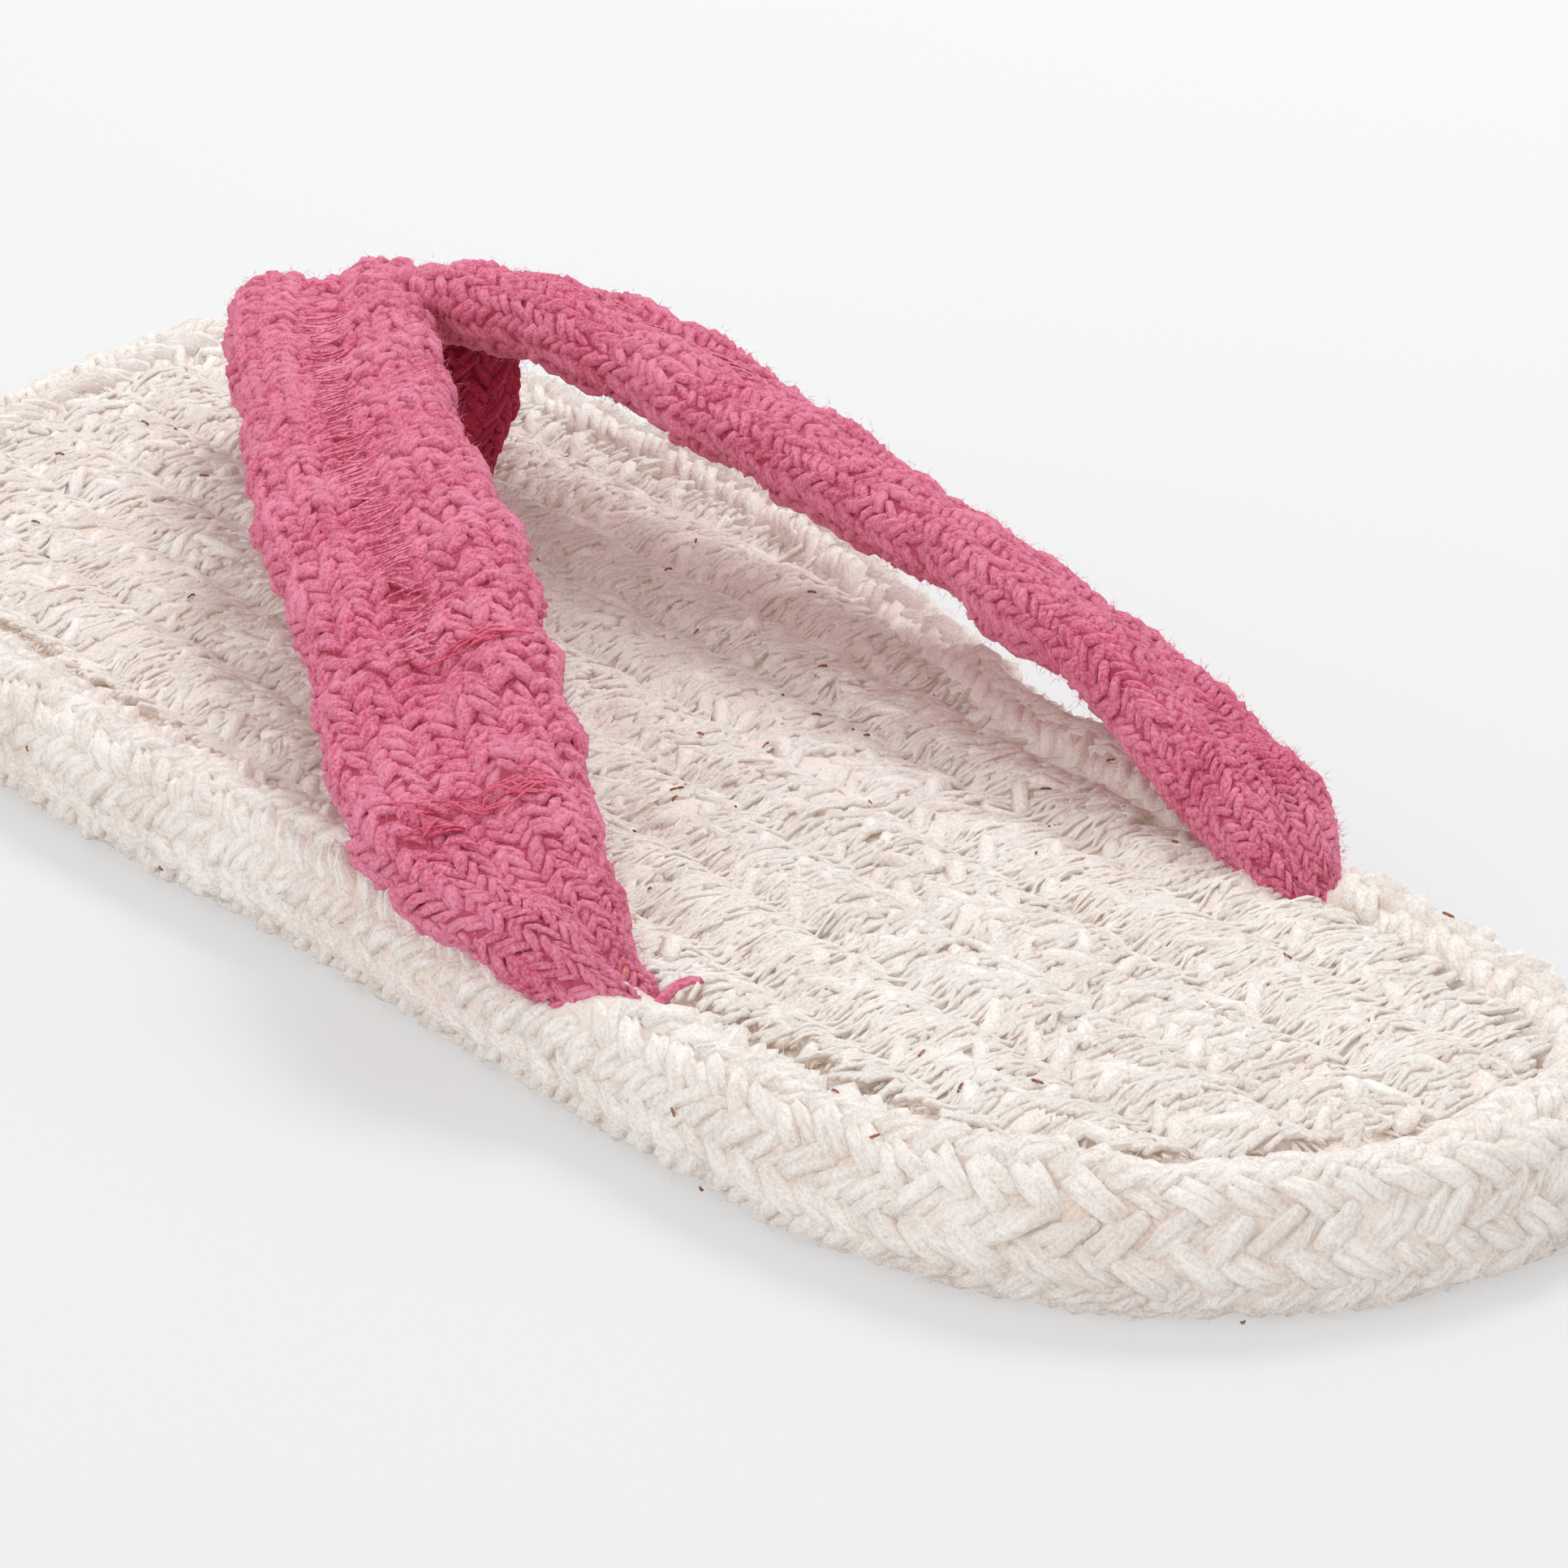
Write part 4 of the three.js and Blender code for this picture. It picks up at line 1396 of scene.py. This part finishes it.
# %% Short ways to wire a material
def srgb(red, green, blue):
    """The shader's own colour for a colour as it shows on a screen."""
    def linear(value):
        share = value / 255
        return share / 12.92 if share <= 0.04045 else ((share + 0.055) / 1.055) ** 2.4

    return (linear(red), linear(green), linear(blue), 1)


class Wiring:
    """Short ways to add nodes to one material and wire them."""

    def __init__(self, material):
        material.use_nodes = True
        self.tree = material.node_tree
        self.shader = self.tree.nodes["Principled BSDF"]

    def feed(self, socket, value):
        if isinstance(value, bpy.types.NodeSocket):
            self.tree.links.new(value, socket)
        else:
            socket.default_value = value

    def node(self, kind, settings, inputs):
        node = self.tree.nodes.new(kind)
        for name, value in settings.items():
            setattr(node, name, value)
        for name, value in inputs.items():
            self.feed(node.inputs[name], value)
        return node

    def noise(self, vector, scale, detail):
        inputs = {"Vector": vector, "Scale": scale, "Detail": detail}
        return self.node("ShaderNodeTexNoise", {}, inputs).outputs["Fac"]

    def math(self, operation, *values):
        inputs = dict(enumerate(values))
        return self.node("ShaderNodeMath", {"operation": operation}, inputs).outputs[0]

    def spread(self, value, low, high):
        inputs = {"Value": value, "From Min": low, "From Max": high}
        return self.node("ShaderNodeMapRange", {}, inputs).outputs["Result"]

    def blend(self, share, first, second):
        inputs = {0: share, 6: first, 7: second}
        return self.node("ShaderNodeMix", {"data_type": "RGBA"}, inputs).outputs[2]

    def number(self, name):
        return self.node("ShaderNodeAttribute", {"attribute_name": name}, {}).outputs["Fac"]


print("white on the screen is, for a shader:", srgb(255, 255, 255))

# %% [markdown]
# Cotton, as a material
#
# Dull cotton scatters light, so its surface is rough, with a little sheen where the fuzz is
# seen edge on. Four things change its colour. The pits are painted darker and warmer than the
# tops, as painted shade whose share comes from the number left on the points, and the same
# share keeps the lighter tones off the pits. Fibres run along the yarn as fine light and dark
# lines, a noise stretched along the yarn's own UV map and shifted by the yarn's tone. Fluff
# speckles it, and the whole cloth is paler in patches. Light also comes through thin fibres
# into the pits. Subsurface scattering would be the true way, but where soft yarns overlap it
# turns the pits grey, so a very weak painted glow in the pits' colour, over the whole piece,
# stands for that light.

# %% Build cotton
TONE_SHIFT = 57.0
STREAK_LENGTH = 3.0
STREAK_DETAIL = 3.0
PATCH_SCALE = 110.0
FLUFF_SCALE = 3500.0
CLOUD_DETAIL = 2.0
FROM_PIT_SHADE_TO_TOP = (0.25, 0.62)
FROM_DARK_TO_LIGHT = (1.5, 2.15)
FLUFF_IN_COLOUR = 1.8
FLUFF_IN_RELIEF = 1.1
COTTON_SHINE = 0.25
SHEEN_ROUGHNESS = 0.5


def cotton(name, pit_shade, middle, light, rough, sheen, turns, streaks, relief, through=0):
    """Cotton whose fibres turn round the yarn and lie in streaks along it.

    Its pit colour is painted shade for the low parts. Its share `through` is a painted glow
    in that colour, for the light that reaches a gap through the thin fibres beside it.
    """
    material = bpy.data.materials.new(name)
    wires = Wiring(material)
    shader = wires.shader
    shader.inputs["Roughness"].default_value = rough
    shader.inputs["Specular IOR Level"].default_value = COTTON_SHINE
    shader.inputs["Sheen Weight"].default_value = sheen
    shader.inputs["Sheen Roughness"].default_value = SHEEN_ROUGHNESS
    shader.inputs["Sheen Tint"].default_value = light
    shader.inputs["Emission Color"].default_value = pit_shade
    shader.inputs["Emission Strength"].default_value = through

    place = wires.node("ShaderNodeTexCoord", {}, {})
    raised = wires.number("raised")
    tone = wires.number("tone")
    around = wires.node("ShaderNodeSeparateXYZ", {}, {"Vector": place.outputs["UV"]})
    turned = wires.math("MULTIPLY_ADD", around.outputs["Y"], turns, around.outputs["X"])
    across = wires.math("MULTIPLY_ADD", tone, TONE_SHIFT, wires.math("MULTIPLY", turned, streaks))
    along = wires.math("MULTIPLY", around.outputs["Y"], STREAK_LENGTH)
    fibre_place = wires.node("ShaderNodeCombineXYZ", {}, {"X": across, "Y": along, "Z": tone})
    fibre = wires.noise(fibre_place.outputs["Vector"], 1.0, STREAK_DETAIL)
    patches = wires.noise(place.outputs["Object"], PATCH_SCALE, CLOUD_DETAIL)
    fluff = wires.noise(place.outputs["Object"], FLUFF_SCALE, CLOUD_DETAIL)

    # Painted shade: the low parts take the pit colour and the tops the middle one, and only the tops
    # take the lighter tones.
    depth = wires.spread(raised, *FROM_PIT_SHADE_TO_TOP)
    pit_shaded = wires.blend(depth, pit_shade, middle)
    lightness = wires.math(
        "MULTIPLY_ADD", fluff, FLUFF_IN_COLOUR, wires.math("ADD", fibre, patches))
    bright = wires.math("MULTIPLY", wires.spread(lightness, *FROM_DARK_TO_LIGHT), depth)
    wires.feed(shader.inputs["Base Color"], wires.blend(bright, pit_shaded, light))

    height = wires.math("MULTIPLY_ADD", fluff, FLUFF_IN_RELIEF, fibre)
    bump = wires.node("ShaderNodeBump", {}, {"Strength": 1.0, "Distance": relief, "Height": height})
    wires.feed(shader.inputs["Normal"], bump.outputs["Normal"])
    return material


print("fluff is smaller than the patches by the factor:", round(FLUFF_SCALE / PATCH_SCALE))

# %% [markdown]
# The colours of the sandal
#
# The sole's cotton isn't bleached, so it is a warm cream, and its pits are painted browner as
# painted shade. The straps are dyed pink, and the post, which stands in the straps' shade, is a
# shaded copy of the pink, painted darker. Sewing thread is smoother than yarn and turns more
# often round itself. Fuzz is painted a little paler than what it stands on, a painted highlight
# for the light that shines through a single fibre. Each finish is the same cotton with other
# numbers.

# %% Mix the colours
cream = cotton(
    "cream_cotton", pit_shade=srgb(208, 176, 154), middle=srgb(219, 210, 203), light=srgb(238, 236, 233),
    rough=0.95, sheen=0.2, turns=0.4, streaks=20.0, relief=0.1 * MM, through=0.12)
pink = cotton(
    "pink_cotton", pit_shade=srgb(146, 18, 48), middle=srgb(196, 78, 111), light=srgb(228, 144, 170),
    rough=0.95, sheen=0.7, turns=0.4, streaks=18.0, relief=0.13 * MM, through=0.12)
# A shaded copy of the pink: the post's shade is painted into its colour.
shaded_pink = cotton(
    "shaded_pink_cotton", pit_shade=srgb(112, 12, 32), middle=srgb(172, 32, 62), light=srgb(186, 66, 96),
    rough=0.95, sheen=0.2, turns=0.4, streaks=18.0, relief=0.16 * MM, through=0.05)
cream_thread = cotton(
    "cream_thread", pit_shade=srgb(208, 176, 154), middle=srgb(216, 207, 199), light=srgb(234, 231, 227),
    rough=0.6, sheen=0.1, turns=10.0, streaks=2.0, relief=0.06 * MM, through=0.13)
pink_thread = cotton(
    "pink_thread", pit_shade=srgb(140, 20, 50), middle=srgb(196, 68, 102), light=srgb(242, 162, 186),
    rough=0.5, sheen=0.2, turns=10.0, streaks=2.0, relief=0.06 * MM)
red_thread = cotton(
    "red_thread", pit_shade=srgb(168, 30, 62), middle=srgb(198, 54, 92), light=srgb(228, 112, 140),
    rough=0.45, sheen=0.1, turns=10.0, streaks=2.0, relief=0.06 * MM)
# The fuzz colours are painted paler than their braids, a painted highlight for light shining through
# single fibres.
cream_fuzz = cotton(
    "cream_fuzz", pit_shade=srgb(250, 240, 231), middle=srgb(252, 244, 237), light=srgb(255, 251, 247),
    rough=0.9, sheen=0.3, turns=0, streaks=1.0, relief=0.01 * MM)
pink_fuzz = cotton(
    "pink_fuzz", pit_shade=srgb(222, 112, 144), middle=srgb(230, 126, 156), light=srgb(244, 164, 186),
    rough=0.9, sheen=0.5, turns=0, streaks=1.0, relief=0.01 * MM)
seed = cotton(
    "seed_crumb", pit_shade=srgb(96, 62, 48), middle=srgb(110, 72, 54), light=srgb(168, 112, 82),
    rough=0.7, sheen=0, turns=0, streaks=1.0, relief=0.02 * MM)
amber = cotton(
    "amber_fibre", pit_shade=srgb(176, 104, 36), middle=srgb(214, 146, 58), light=srgb(236, 184, 96),
    rough=0.6, sheen=0, turns=0, streaks=1.0, relief=0.02 * MM)
print("finishes:", sorted(material.name for material in bpy.data.materials))

# %% [markdown]
# Dressing the pieces
#
# Each piece takes one finish. It could be given to the faces one by one, but a yarn is dyed
# whole, so one material for each mesh is enough.

# %% Dress the pieces
SOLE_FIBRES = 2


def dress(pieces, material):
    for piece in pieces:
        piece.data.materials.clear()
        piece.data.materials.append(material)
    print(material.name, "is on", len(pieces), "pieces")


dress([rim, rim_core, rows, rows_below, bed, seam_cord, wisps], cream)
dress([lateral_braid, lateral_core, medial_braid, medial_core, tail], pink)
# The post wears the shaded pink, painted shade for where it stands between the straps.
dress([post, post_core], shaded_pink)
dress(strap_threads, pink_thread)
dress([join_threads], red_thread)
dress([long_stitches], cream_thread)
dress([stray], amber)
dress(fibres[:SOLE_FIBRES], cream_fuzz)
dress(fibres[SOLE_FIBRES:], pink_fuzz)
dress([flecks], seed)

# %% [markdown]
# The floor
#
# The sandal lies on a plain pale floor without an edge. A studio floor is lit so well from all
# sides that the sandal's shadow nearly fades. A weak glow of the floor itself does that with
# few lamps, and the sandal keeps its own shading.

# %% Floor
FLOOR_SIZE = 8
FLOOR_GLOW = 0.41

bpy.ops.mesh.primitive_plane_add(size=FLOOR_SIZE)
floor = bpy.context.object
floor.name = "floor"
floor_material = bpy.data.materials.new("floor_paint")
floor_material.use_nodes = True
floor_shader = floor_material.node_tree.nodes["Principled BSDF"]
floor_shader.inputs["Base Color"].default_value = srgb(166, 167, 168)
floor_shader.inputs["Emission Color"].default_value = (1, 1, 1, 1)
floor_shader.inputs["Emission Strength"].default_value = FLOOR_GLOW
floor_shader.inputs["Roughness"].default_value = 0.9
floor_shader.inputs["Specular IOR Level"].default_value = 0.1
floor.data.materials.append(floor_material)
print("floor, side in metres:", FLOOR_SIZE)

# %% [markdown]
# The lights
#
# Soft light comes from all sides, mostly from above and from the medial side, where the key
# light makes the straps' shadow on the rows. The other lamps are larger and open the shadows.

# %% Lights
LIGHTS = [
    # name, place, size, power, what it points at
    ("key_light", (0.45, 0.25, 0.85), 0.4, 4.2, (0, 0, 0)),
    ("side_light", (-1.1, -0.2, 0.6), 1.2, 3.8, (0, 0, 0)),
    ("front_light", (-0.4, -1.1, 0.8), 1.2, 2, (0, 0, 0)),
    ("back_light", (0.5, 1.2, 0.5), 1, 3, (0.1, 0.3, 0)),
]
STUDIO_COLOUR = (1, 0.99, 0.98, 1)
STUDIO_LIGHT = 0.72


def add_light(name, place, size, power, aim):
    bpy.ops.object.light_add(type="AREA", location=place)
    light = bpy.context.object
    light.name = name
    light.data.size = size
    light.data.energy = power
    way = np.array(aim) - np.array(place)
    flat = math.hypot(way[0], way[1])
    light.rotation_euler = (math.atan2(flat, -way[2]), 0, math.atan2(way[1], way[0]) - math.pi / 2)
    print(name, "power in watts:", power)


for light_row in LIGHTS:
    add_light(*light_row)
world = bpy.data.worlds.new("studio")
bpy.context.scene.world = world
world.use_nodes = True
world.node_tree.nodes["Background"].inputs["Color"].default_value = STUDIO_COLOUR
world.node_tree.nodes["Background"].inputs["Strength"].default_value = STUDIO_LIGHT
bpy.context.scene.view_settings.view_transform = "Standard"

# %% [markdown]
# The camera
#
# The camera looks along the foot from behind its lateral side, 18 degrees above the floor,
# through a long lens, so the sandal shows hardly any perspective.

# %% Camera
CAMERA_HEADING = math.radians(29.42)
CAMERA_DOWN = math.radians(18)
CAMERA_PLACE = (-0.2471, -0.4687, 0.1737)
CAMERA_LENS = 152.8
SENSOR_WIDTH = 36
bpy.ops.object.camera_add(
    location=(CAMERA_PLACE[0] + TO_FRAME, CAMERA_PLACE[1], CAMERA_PLACE[2]),
    rotation=(math.radians(90) - CAMERA_DOWN, 0, -CAMERA_HEADING))
camera = bpy.context.object
camera.data.lens = CAMERA_LENS
camera.data.sensor_width = SENSOR_WIDTH
bpy.context.scene.camera = camera
print("lens in mm:", CAMERA_LENS)
